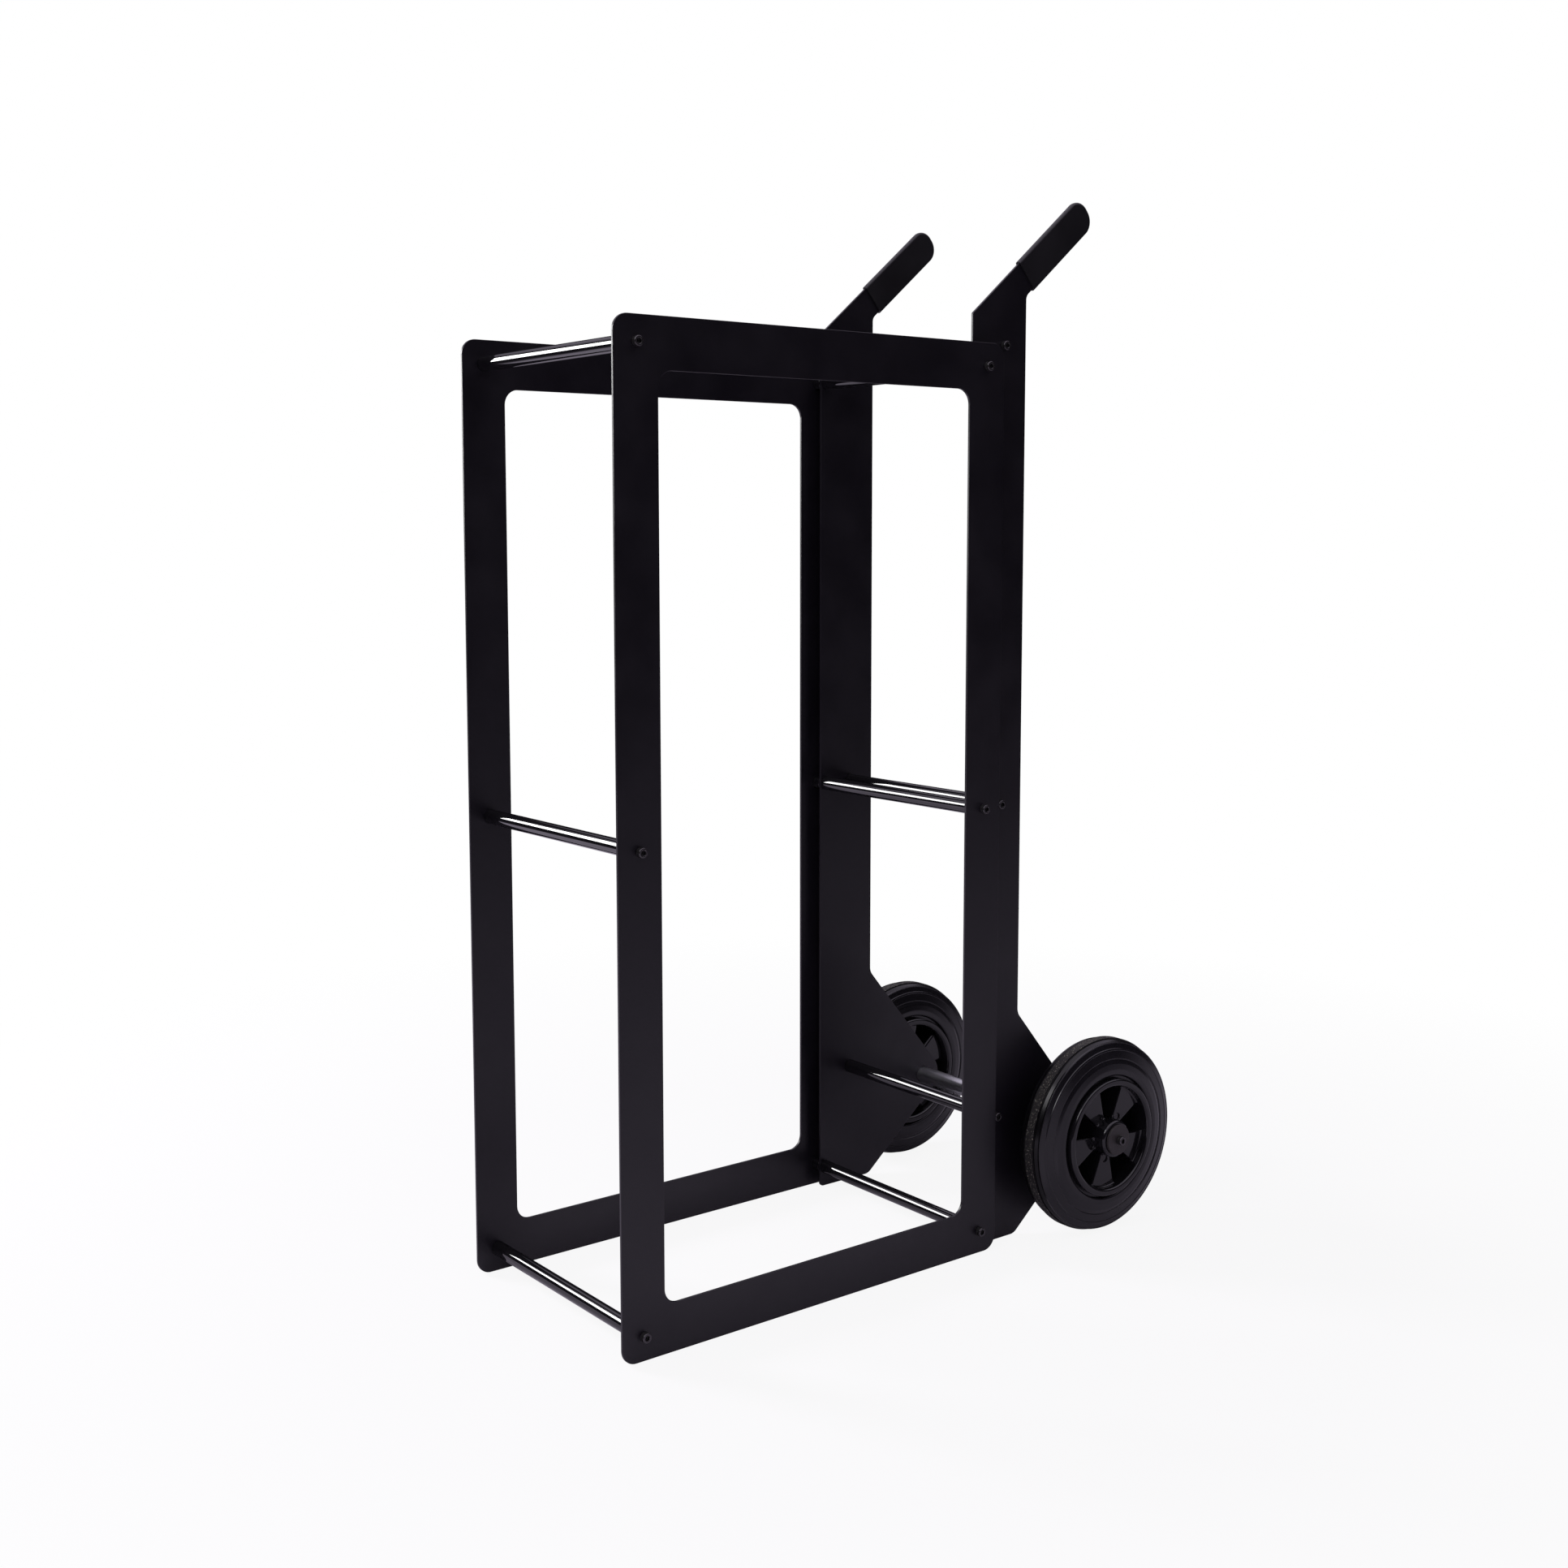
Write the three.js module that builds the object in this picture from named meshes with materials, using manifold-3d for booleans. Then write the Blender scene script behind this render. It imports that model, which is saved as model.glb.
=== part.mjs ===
// A trolley for split logs. Two laser-cut steel side frames stand on their bottom edges and are held
// apart by glossy rods. A handle plate stands a little inside the back of each frame and carries the
// grip above and the axle below. The wheels just clear the ground, so the trolley stands firm and
// rolls when it is tipped back.
//
// Millimetres, +Z up. X runs across the trolley and Y from its front edge back to the wheels.
// Left and right are as seen from the front, so right is +X.
import * as THREE from "three";
import { mergeVertices } from "three/addons/utils/BufferGeometryUtils.js";
import Module from "manifold-3d";

const wasm = await Module();
wasm.setup();

// Gap between pieces that touch, the wheels' end float, and how far a cut runs past what it cuts.
const clearance = 0.3;
const end_float = 0.5;
const overrun = 2;

// Side frames
const bay_width = 280;
const frame_depth = 500;
const frame_height = 1000;
const sheet_thickness = 3;
const rail_width = 50;
const frame_corner_radius = 16;
const window_corner_radius = 16;

// Rods and the screws in their ends
const rod_diameter = 16;
const tapped_depth = 20;
const screw_diameter = 6;
const screw_length = 18;
const long_screw_length = 35;
const cap_head_diameter = 10;
const cap_head_height = 6;
const cap_head_edge_break = 0.6;
const socket_width = 5;
const socket_depth = 2.4;
const socket_sides = 6;

// Handle plates: an upright, a tongue for the grip and a bracket for the axle
const handle_plate_inset = 12;
const back_rod_edge_distance = 7;
const upright_setback = 48;
const upright_foot_height = 1;
const handle_rod_inset = 34;
const handle_rod_low_height = 145;
const shoulder_rise = 32;
const shoulder_radius = 3;
const hidden_corner_radius = 5;
const bracket_bend_radius = 15;
const tongue_fillet_radius = 10;
const tongue_angle_degrees = 40;
const tongue_width = 33.5;
const tongue_length = 210;
const tongue_end_radius = 15;

// Grips
const grip_length = 123;
const grip_wall = 2;
const grip_edge_radius = 2.8;

// Axle, and what holds a wheel on it
const axle_diameter = 20;
const axle_setback = 138;
const axle_height = 111.5;
const axle_edge_break = 1;
const bracket_tip_radius = 25.5;
const spacer_length = 7.5;
const spacer_diameter = 30;
const end_washer_diameter = 35;
const end_washer_thickness = 3;
const end_washer_edge_break = 0.5;

// Tyre: its tread from the outside in, and its bead from the seat out
const tyre_radius = 111;
const tread_band_width = 15;
const tread_groove_width = 2.5;
const tread_groove_depth = 2;
const tread_shoulder_width = 24;
const tread_shoulder_drop = 1;
const tyre_edge_drop = 6;
const tyre_edge_width = 31;
const sidewall_band_height = 11;
const sidewall_step_width = 35;
const sidewall_step_height = 0.8;
const bead_ridge_height = 8;
const bead_ridge_width = 42;
const bead_ridge_round = 1.7;
const tyre_seat_radius = 63;
const tyre_seat_width = 34;

// Rim: a channel for the tyre, a hub, and a web folded to and fro between the two faces
const flange_height = 6;
const flange_thickness = 5;
const flange_edge_radius = 1.2;
const flange_gap = 1.3;
const barrel_wall = 6;
const barrel_mouth_chamfer = 3;
const hub_length = 62;
const hub_diameter = 43;
const hub_edge_radius = 2.5;
const bush_diameter = 26;
const web_panels = 5;
const web_width = 33;
const web_thickness = 3;
const web_edge_radius = 1.4;
const web_phase_degrees = 48.5;
const notch_diameter = 10.5;
const notch_offset_from_hub = 4;

// How finely round forms are divided
const corner_steps = 4;
const screw_sides = 10;
const rod_sides = 14;
const axle_sides = 18;
const hub_sides = 24;
const wheel_sides = 36;
const notch_sides = 12;
const edge_round_steps = 2;

// Sizes that follow from the ones above. Places across the trolley are half widths.
const frame_inner = bay_width / 2;
const frame_outer = frame_inner + sheet_thickness;
const plate_outer = frame_inner - handle_plate_inset;
const plate_inner = plate_outer - sheet_thickness;
const hub_inner = plate_outer + clearance + spacer_length + end_float;
const hub_outer = hub_inner + hub_length;
const end_washer_inner = hub_outer + end_float;
const axle_end = end_washer_inner - clearance;
const wheel_middle = (hub_inner + hub_outer) / 2;
const screw_hole_radius = screw_diameter / 2 + clearance;
const axle_bore_radius = axle_diameter / 2 + clearance;
const rod_front = rail_width / 2;
const rod_back = frame_depth - rail_width / 2;
const upright_back = frame_depth + upright_setback;
const upright_front = rod_back - back_rod_edge_distance;
const shoulder_height = frame_height + shoulder_rise;
const axle_depth = frame_depth + axle_setback;
const overall_depth = axle_depth + tyre_radius;
const tyre_edge_radius = tyre_radius - tyre_edge_drop;
const sidewall_step_radius = tyre_edge_radius - sidewall_band_height;
const flange_outer_radius = tyre_seat_radius + flange_height;
const tyre_mouth_radius = flange_outer_radius + flange_gap;
const bead_ridge_inner_radius = tyre_mouth_radius + bead_ridge_round;
const bead_ridge_outer_radius = bead_ridge_inner_radius + bead_ridge_height;
const rim_width = tyre_seat_width + 2 * flange_thickness;
const barrel_inner_radius = tyre_seat_radius - barrel_wall;
const flange_inner_radius = barrel_inner_radius + barrel_mouth_chamfer;
const tongue_angle = THREE.MathUtils.degToRad(tongue_angle_degrees);

// Finishes
const powder_coat = { color: 0x2b292d, roughness: 0.55, metalness: 0.1 };
const gloss_black = { color: 0x131215, roughness: 0.1, metalness: 0.2 };
const black_steel = { color: 0x222225, roughness: 0.35, metalness: 0.6 };
const zinc_steel = { color: 0xa8abb0, roughness: 0.35, metalness: 1 };
const vinyl = { color: 0x1d1c1f, roughness: 0.5, metalness: 0 };
const rubber = { color: 0x2b2a2d, roughness: 0.75, metalness: 0 };
const black_plastic = { color: 0x1f1f22, roughness: 0.35, metalness: 0 };
const white_nylon = { color: 0xd8d6cf, roughness: 0.45, metalness: 0 };

function piece(name, geometry, finish) {
  const mesh = new THREE.Mesh(geometry, new THREE.MeshStandardMaterial(finish));
  mesh.name = name;
  return mesh;
}

// A closed three.js geometry as a manifold solid, and back.
function solidOf(geometry) {
  const bare = geometry.index ? geometry.toNonIndexed() : geometry.clone();
  bare.deleteAttribute("normal");
  bare.deleteAttribute("uv");
  const welded = mergeVertices(bare);
  return new wasm.Manifold(
    new wasm.Mesh({
      numProp: 3,
      vertProperties: welded.attributes.position.array,
      triVerts: new Uint32Array(welded.index.array),
    }),
  );
}

function geometryOf(solid) {
  const mesh = solid.getMesh();
  const geometry = new THREE.BufferGeometry();
  geometry.setAttribute("position", new THREE.BufferAttribute(mesh.vertProperties, mesh.numProp));
  geometry.setIndex(new THREE.BufferAttribute(mesh.triVerts, 1));
  geometry.computeVertexNormals();
  return geometry;
}

// Points along an arc, both ends among them.
function arcPoints(centreX, centreY, radius, startAngle, turn, steps) {
  const points = [];
  for (let step = 0; step <= steps; step++) {
    const angle = startAngle + (turn * step) / steps;
    points.push(new THREE.Vector2(centreX + radius * Math.cos(angle), centreY + radius * Math.sin(angle)));
  }
  return points;
}

// A closed outline through corners [x, y, radius], each rounded by an arc that touches both its sides,
// or left sharp where its radius is zero.
function roundedShape(corners) {
  const points = corners.flatMap(([x, y, radius], i) => {
    if (radius === 0) return [new THREE.Vector2(x, y)];
    const [beforeX, beforeY] = corners.at(i - 1);
    const [afterX, afterY] = corners[(i + 1) % corners.length];
    const here = new THREE.Vector2(x, y);
    const toBefore = new THREE.Vector2(beforeX, beforeY).sub(here).normalize();
    const toAfter = new THREE.Vector2(afterX, afterY).sub(here).normalize();
    const halfAngle = Math.acos(toBefore.dot(toAfter)) / 2;
    const reach = radius / Math.tan(halfAngle);
    const start = here.clone().addScaledVector(toBefore, reach);
    const inward = toBefore.clone().add(toAfter).normalize();
    const centre = here.clone().addScaledVector(inward, radius / Math.sin(halfAngle));
    const startAngle = Math.atan2(start.y - centre.y, start.x - centre.x);
    const turn = (Math.PI - 2 * halfAngle) * -Math.sign(toBefore.cross(toAfter));
    return arcPoints(centre.x, centre.y, radius, startAngle, turn, corner_steps);
  });
  return new THREE.Shape(points);
}

function roundHole(x, y, radius, holeSides) {
  const points = arcPoints(x, y, radius, 0, 2 * Math.PI, holeSides);
  points.pop();
  return new THREE.Path(points);
}

// A straight-sided body from a drawn shape, between two places along Z.
function extruded(shape, from, to) {
  return new THREE.ExtrudeGeometry(shape, { depth: to - from, bevelEnabled: false }).translate(0, 0, from);
}

// The same with its edges rounded at both ends, within the same outline and length.
function extrudedRound(shape, from, to, radius) {
  return new THREE.ExtrudeGeometry(shape, {
    depth: to - from - 2 * radius,
    bevelThickness: radius,
    bevelSize: radius,
    bevelOffset: -radius,
    bevelSegments: edge_round_steps,
  }).translate(0, 0, from + radius);
}

// A body turned round Z from a profile of [radius, place along Z]. The profile runs from the low end
// of the axis to its high end by way of the outside, or round a closed loop the same way.
function turned(profile, sides) {
  const points = profile.map(([radius, along]) => new THREE.Vector2(radius, along));
  return new THREE.LatheGeometry(points, sides).rotateX(Math.PI / 2);
}

// The points of a quarter round between two places of a profile, bulging towards the corner.
function quarterRound([fromRadius, fromAlong], [toRadius, toAlong], [cornerRadius, cornerAlong]) {
  const points = [];
  for (let step = 0; step <= edge_round_steps; step++) {
    const angle = (step / edge_round_steps) * (Math.PI / 2);
    const back = Math.sin(angle);
    const ahead = 1 - Math.cos(angle);
    points.push([
      fromRadius + (cornerRadius - fromRadius) * back + (toRadius - cornerRadius) * ahead,
      fromAlong + (cornerAlong - fromAlong) * back + (toAlong - cornerAlong) * ahead,
    ]);
  }
  return points;
}

// A loop's other half: the same profile on the other side of the middle, in reverse order.
function mirrored(profile) {
  return profile.map(([radius, along]) => [radius, -along]).reverse();
}

// A six-sided cut, as wide across its flats as given.
function hexSocket(width, depth) {
  const cornerRadius = width / 2 / Math.cos(Math.PI / socket_sides);
  const socket = new THREE.CylinderGeometry(cornerRadius, cornerRadius, depth, socket_sides);
  return socket.rotateX(Math.PI / 2);
}

// The frames' rods sit on the middle lines of the rails, and the handle's own follow the upright.
const frame_rod_heights = {
  bottom: rail_width / 2,
  middle: frame_height / 2,
  top: frame_height - rail_width / 2,
};
const handle_rod_depth = upright_back - handle_rod_inset;
const handle_rod_heights = {
  bottom: handle_rod_low_height,
  middle: frame_height / 2,
  top: frame_height,
};

function sideFrame() {
  const outline = roundedShape([
    [0, 0, frame_corner_radius],
    [frame_depth, 0, frame_corner_radius],
    [frame_depth, frame_height, frame_corner_radius],
    [0, frame_height, frame_corner_radius],
  ]);
  const window = roundedShape([
    [rail_width, rail_width, window_corner_radius],
    [frame_depth - rail_width, rail_width, window_corner_radius],
    [frame_depth - rail_width, frame_height - rail_width, window_corner_radius],
    [rail_width, frame_height - rail_width, window_corner_radius],
  ]);
  outline.holes.push(window);
  for (const height of Object.values(frame_rod_heights)) {
    outline.holes.push(roundHole(rod_front, height, screw_hole_radius, screw_sides));
    outline.holes.push(roundHole(rod_back, height, screw_hole_radius, screw_sides));
  }
  return extruded(outline, 0, sheet_thickness);
}

// The handle plate's slanting edges run along the tongue or square to it.
const along = new THREE.Vector2(Math.cos(tongue_angle), Math.sin(tongue_angle));
const across = new THREE.Vector2(-Math.sin(tongue_angle), Math.cos(tongue_angle));
const shoulder = new THREE.Vector2(upright_front, shoulder_height);

function handlePlateOutline() {
  const axle = new THREE.Vector2(axle_depth, axle_height);
  const apex = axle
    .clone()
    .addScaledVector(along, bracket_tip_radius)
    .addScaledVector(across, -bracket_tip_radius);
  const bend = apex.clone().addScaledVector(across, (apex.x - upright_back) / Math.sin(tongue_angle));
  const foot = apex.clone().addScaledVector(along, (upright_foot_height - apex.y) / Math.sin(tongue_angle));
  const tipHigh = shoulder.clone().addScaledVector(along, tongue_length);
  const tipLow = tipHigh.clone().addScaledVector(across, -tongue_width);
  const crook = tipLow.clone().addScaledVector(along, (upright_back - tipLow.x) / Math.cos(tongue_angle));
  return roundedShape([
    [upright_front, upright_foot_height, hidden_corner_radius],
    [foot.x, foot.y, bracket_bend_radius],
    [apex.x, apex.y, bracket_tip_radius],
    [bend.x, bend.y, bracket_bend_radius],
    [crook.x, crook.y, tongue_fillet_radius],
    [tipLow.x, tipLow.y, tongue_end_radius],
    [tipHigh.x, tipHigh.y, tongue_end_radius],
    [shoulder.x, shoulder.y, shoulder_radius],
  ]);
}

// The screws of the frames' back rods run through the handle plates, and so do the handle's own.
function handlePlate() {
  const outline = handlePlateOutline();
  outline.holes.push(roundHole(axle_depth, axle_height, axle_bore_radius, axle_sides));
  for (const height of Object.values(frame_rod_heights)) {
    outline.holes.push(roundHole(rod_back, height, screw_hole_radius, screw_sides));
  }
  for (const height of Object.values(handle_rod_heights)) {
    outline.holes.push(roundHole(handle_rod_depth, height, screw_hole_radius, screw_sides));
  }
  return extruded(outline, 0, sheet_thickness);
}

// Rods are tapped at both ends. They lie along Z here, centred.
function rod(halfLength) {
  const radius = rod_diameter / 2;
  const tap = halfLength - tapped_depth;
  return turned(
    [
      [0, -tap],
      [screw_hole_radius, -tap],
      [screw_hole_radius, -halfLength],
      [radius, -halfLength],
      [radius, halfLength],
      [screw_hole_radius, halfLength],
      [screw_hole_radius, tap],
      [0, tap],
    ],
    rod_sides,
  );
}

// Screws point down -Z from the face they clamp, with that face at zero.
function screw(length) {
  const head = cap_head_diameter / 2;
  const shank = screw_diameter / 2;
  const body = turned(
    [
      [0, -length],
      [shank, -length],
      [shank, 0],
      [head, 0],
      [head, cap_head_height - cap_head_edge_break],
      [head - cap_head_edge_break, cap_head_height],
      [0, cap_head_height],
    ],
    screw_sides,
  );
  const socket = hexSocket(socket_width, 2 * socket_depth).translate(0, 0, cap_head_height);
  return geometryOf(solidOf(body).subtract(solidOf(socket)));
}

// A soft sleeve pulled over the tongue. Here X runs along the tongue from its shoulder, and the
// tongue's middle lies on the origin's line. The sleeve is drawn too long and cut flat at its mouth.
function grip() {
  const tip = tongue_length + grip_wall;
  const mouth = tip - grip_length;
  const drawnFrom = mouth - grip_edge_radius - overrun;
  const width = tongue_width + 2 * grip_wall;
  const thickness = sheet_thickness + 2 * grip_wall;
  const outer = tongueShape(drawnFrom, tip, width, tongue_end_radius + grip_wall);
  const sleeve = extrudedRound(outer, -thickness / 2, thickness / 2, grip_edge_radius);
  const slotTip = tongue_length + clearance;
  const slotWidth = tongue_width + 2 * clearance;
  const slotHalfDepth = sheet_thickness / 2 + clearance;
  const slot = tongueShape(drawnFrom, slotTip, slotWidth, tongue_end_radius + clearance);
  const hollow = extruded(slot, -slotHalfDepth, slotHalfDepth);
  const spareLength = 2 * (mouth - drawnFrom);
  const spare = new THREE.BoxGeometry(spareLength, width + overrun, thickness + overrun);
  spare.translate(mouth - spareLength / 2, 0, 0);
  return geometryOf(solidOf(sleeve).subtract(solidOf(hollow)).subtract(solidOf(spare)));
}

function tongueShape(from, to, width, endRadius) {
  return roundedShape([
    [from, -width / 2, 0],
    [to, -width / 2, endRadius],
    [to, width / 2, endRadius],
    [from, width / 2, 0],
  ]);
}

function axle() {
  const radius = axle_diameter / 2;
  const tap = axle_end - tapped_depth;
  return turned(
    [
      [0, -tap],
      [screw_hole_radius, -tap],
      [screw_hole_radius, -axle_end],
      [radius - axle_edge_break, -axle_end],
      [radius, axle_edge_break - axle_end],
      [radius, axle_end - axle_edge_break],
      [radius - axle_edge_break, axle_end],
      [screw_hole_radius, axle_end],
      [screw_hole_radius, tap],
      [0, tap],
    ],
    axle_sides,
  );
}

// A plain ring between two radii, from one place along Z to another.
function ring(innerRadius, outerRadius, from, to) {
  return turned(
    [
      [innerRadius, from],
      [outerRadius, from],
      [outerRadius, to],
      [innerRadius, to],
      [innerRadius, from],
    ],
    axle_sides,
  );
}

// A thick washer whose outer edges are broken.
function endWasher() {
  const radius = end_washer_diameter / 2;
  const half = end_washer_thickness / 2;
  return turned(
    [
      [screw_hole_radius, -half],
      [radius - end_washer_edge_break, -half],
      [radius, end_washer_edge_break - half],
      [radius, half - end_washer_edge_break],
      [radius - end_washer_edge_break, half],
      [screw_hole_radius, half],
      [screw_hole_radius, -half],
    ],
    axle_sides,
  );
}

// Wheels are made round Z with their middle at zero and their outer face towards +Z. This is the
// half of the tyre's section on the +Z side, from the bead over the sidewall to the tread.
function tyreHalfProfile() {
  const seatHalf = tyre_seat_width / 2 - clearance;
  const ridgeHalf = bead_ridge_width / 2;
  const bandHalf = tread_band_width / 2;
  const grooveFloor = tyre_radius - tread_groove_depth;
  return [
    [tyre_seat_radius + clearance, seatHalf],
    [tyre_mouth_radius, seatHalf],
    [tyre_mouth_radius, ridgeHalf - bead_ridge_round],
    [bead_ridge_inner_radius, ridgeHalf],
    [bead_ridge_outer_radius, ridgeHalf],
    [sidewall_step_radius - sidewall_step_height, sidewall_step_width / 2 + sidewall_step_height],
    [sidewall_step_radius, sidewall_step_width / 2],
    [tyre_edge_radius, tyre_edge_width / 2],
    [tyre_radius - tread_shoulder_drop, tread_shoulder_width / 2],
    [grooveFloor, bandHalf + tread_groove_width],
    [grooveFloor, bandHalf],
    [tyre_radius, bandHalf],
  ];
}

function tyre() {
  const half = tyreHalfProfile();
  const outwards = mirrored(half).reverse();
  const inwards = [...half].reverse();
  return turned([...outwards, ...inwards, outwards[0]], wheel_sides);
}

// The rim's outer wall: a channel that the tyre's bead sits in, between two rounded flanges.
function rimChannel() {
  const faceHalf = rim_width / 2;
  const seatHalf = tyre_seat_width / 2;
  const half = [
    [tyre_seat_radius, seatHalf],
    [flange_outer_radius, seatHalf],
    ...quarterRound(
      [flange_outer_radius, faceHalf - flange_edge_radius],
      [flange_outer_radius - flange_edge_radius, faceHalf],
      [flange_outer_radius, faceHalf],
    ),
    [flange_inner_radius, faceHalf],
    [barrel_inner_radius, faceHalf - barrel_mouth_chamfer],
  ];
  const lowEnd = mirrored(half);
  return turned([...lowEnd, ...half, lowEnd[0]], wheel_sides);
}

function hub() {
  const half = hub_length / 2;
  const radius = hub_diameter / 2;
  const bore = bush_diameter / 2 + clearance;
  const roundFrom = [radius, half - hub_edge_radius];
  const roundTo = [radius - hub_edge_radius, half];
  const halfProfile = [...quarterRound(roundFrom, roundTo, [radius, half]), [bore, half]];
  return turned([...mirrored(halfProfile), ...halfProfile, [bore, -half]], hub_sides);
}

// A sector of the web between two radii, drawn about the X axis.
function sectorShape(innerRadius, outerRadius, halfAngle) {
  const outer = arcPoints(0, 0, outerRadius, -halfAngle, 2 * halfAngle, corner_steps);
  const inner = arcPoints(0, 0, innerRadius, halfAngle, -2 * halfAngle, corner_steps);
  return new THREE.Shape([...outer, ...inner]);
}

// Each panel is raised: a box open at the back, with a round notch through its face beside the hub.
// The floor beside it closes the gap to the next one.
function rim() {
  const halfAngle = Math.PI / (2 * web_panels);
  const wallAngle = web_thickness / ((hub_diameter / 2 + barrel_inner_radius) / 2);
  const hubReach = hub_diameter / 2 - web_thickness;
  const rimReach = (barrel_inner_radius + tyre_seat_radius) / 2;
  const webHalf = web_width / 2;
  const panelShape = sectorShape(hubReach, rimReach, halfAngle);
  const hollowShape = sectorShape(hub_diameter / 2, barrel_inner_radius, halfAngle - wallAngle);
  const floorShape = sectorShape(hubReach, rimReach, halfAngle + wallAngle);
  const panelBlock = extrudedRound(panelShape, -webHalf, webHalf, web_edge_radius);
  const hollow = extruded(hollowShape, -webHalf - overrun, webHalf - web_thickness);
  const notch = roundNotch().translate(0, 0, webHalf);
  const panel = solidOf(panelBlock).subtract(solidOf(hollow)).subtract(solidOf(notch));
  const floor = solidOf(extruded(floorShape, -webHalf, web_thickness - webHalf));
  let solid = solidOf(rimChannel()).add(solidOf(hub()));
  for (let count = 0; count < web_panels; count++) {
    const turn = (count * 360) / web_panels + web_phase_degrees;
    solid = solid.add(panel.rotate([0, 0, turn]));
    solid = solid.add(floor.rotate([0, 0, turn + 180 / web_panels]));
  }
  return geometryOf(solid);
}

// The cut for a notch, as deep as the web is thick, in a face at zero.
function roundNotch() {
  const centre = hub_diameter / 2 + notch_offset_from_hub;
  const outline = new THREE.Shape(roundHole(centre, 0, notch_diameter / 2, notch_sides).getPoints());
  return extruded(outline, -web_thickness - overrun, overrun);
}

function wheel(side) {
  const group = new THREE.Group();
  group.add(piece("tyre_" + side, tyre(), rubber));
  group.add(piece("rim_" + side, rim(), black_plastic));
  const bush = ring(axle_bore_radius, bush_diameter / 2, -hub_length / 2, hub_length / 2);
  group.add(piece("wheel_bush_" + side, bush, white_nylon));
  return group;
}

// What one side carries, with Z running outwards from the trolley's middle.
function axleFittings(side) {
  const group = new THREE.Group();
  const spacerFrom = plate_outer + clearance;
  const spacer = ring(axle_bore_radius, spacer_diameter / 2, spacerFrom, spacerFrom + spacer_length);
  const washer = piece("axle_washer_" + side, endWasher(), black_steel);
  washer.position.z = end_washer_inner + end_washer_thickness / 2;
  const endScrew = piece("axle_screw_" + side, screw(screw_length), black_steel);
  endScrew.position.z = end_washer_inner + end_washer_thickness + clearance;
  const wheelGroup = wheel(side);
  wheelGroup.position.z = wheel_middle;
  group.add(piece("axle_spacer_" + side, spacer, zinc_steel));
  group.add(washer, endScrew);
  group.add(wheelGroup);
  group.position.set(axle_depth, axle_height, 0);
  return group;
}

function sidePlates(side, outwards) {
  const group = new THREE.Group();
  const frame = piece("side_frame_" + side, sideFrame(), powder_coat);
  frame.position.z = outwards > 0 ? frame_inner : -frame_outer;
  const handle = piece("handle_plate_" + side, handlePlate(), powder_coat);
  handle.position.z = outwards > 0 ? plate_inner : -plate_inner;
  handle.scale.z = outwards;
  const sleeve = piece("grip_" + side, grip(), vinyl);
  sleeve.position.set(shoulder.x, shoulder.y, (outwards * (plate_inner + plate_outer)) / 2);
  sleeve.position.x -= (across.x * tongue_width) / 2;
  sleeve.position.y -= (across.y * tongue_width) / 2;
  sleeve.rotation.z = tongue_angle;
  group.add(frame, handle, sleeve);
  return group;
}

// A rod between two faces, with a screw in each end. The seat is the half width of the outer faces
// that the screws' heads clamp.
function rodWithScrews(name, between, seat, length) {
  const group = new THREE.Group();
  group.add(piece("rod_" + name, rod(between - clearance), gloss_black));
  for (const [side, outwards] of Object.entries(sides)) {
    const endScrew = piece("screw_" + name + "_" + side, screw(length), black_steel);
    endScrew.position.z = outwards * (seat + clearance);
    endScrew.rotation.y = outwards > 0 ? 0 : Math.PI;
    group.add(endScrew);
  }
  return group;
}

// A back rod lies between the handle plates. A spacer at each end keeps its plate off the frame.
function backRod(level) {
  const group = rodWithScrews("back_" + level, plate_inner, frame_outer, long_screw_length);
  const from = plate_outer + clearance;
  const to = frame_inner - clearance;
  for (const [side, outwards] of Object.entries(sides)) {
    const body = ring(screw_hole_radius, rod_diameter / 2, from, to);
    const spacer = piece("spacer_back_" + level + "_" + side, body, gloss_black);
    spacer.rotation.y = outwards > 0 ? 0 : Math.PI;
    group.add(spacer);
  }
  return group;
}

const sides = { right: 1, left: -1 };

// The trolley is drawn in side view: X towards the back, Y up and Z to the right.
const sideView = new THREE.Group();
for (const [side, outwards] of Object.entries(sides)) {
  sideView.add(sidePlates(side, outwards));
  const fittings = new THREE.Group();
  fittings.add(axleFittings(side));
  if (outwards < 0) {
    fittings.rotation.y = Math.PI;
    fittings.position.x = 2 * axle_depth;
  }
  sideView.add(fittings);
}
for (const [level, height] of Object.entries(frame_rod_heights)) {
  const front = rodWithScrews("front_" + level, frame_inner, frame_outer, screw_length);
  const back = backRod(level);
  front.position.set(rod_front, height, 0);
  back.position.set(rod_back, height, 0);
  sideView.add(front, back);
}
for (const [level, height] of Object.entries(handle_rod_heights)) {
  const handle = rodWithScrews("handle_" + level, plate_inner, plate_outer, screw_length);
  handle.position.set(handle_rod_depth, height, 0);
  sideView.add(handle);
}
const axleRod = piece("axle", axle(), zinc_steel);
axleRod.position.set(axle_depth, axle_height, 0);
sideView.add(axleRod);

// Stood upright, with the origin on the ground under the middle of its overall box.
sideView.rotation.set(Math.PI / 2, 0, Math.PI / 2, "ZYX");
sideView.position.y = -overall_depth / 2;

const trolley = new THREE.Group();
trolley.add(sideView);

export default trolley;
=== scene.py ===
# %% [markdown]
# # A log trolley, dressed
# The trolley is a plain, well-made thing: two open side frames and two handle plates cut from 3 mm steel
# sheet, nine round rods screwed between them, soft grips, and two solid-tyred wheels on one axle.
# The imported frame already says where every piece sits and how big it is. This scene re-makes the
# pieces with finer curves, broken edges and real finishes, and never moves or resizes one.

# %% Load the frame
import math

import bmesh
import bpy
from mathutils import Matrix, Vector


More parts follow.
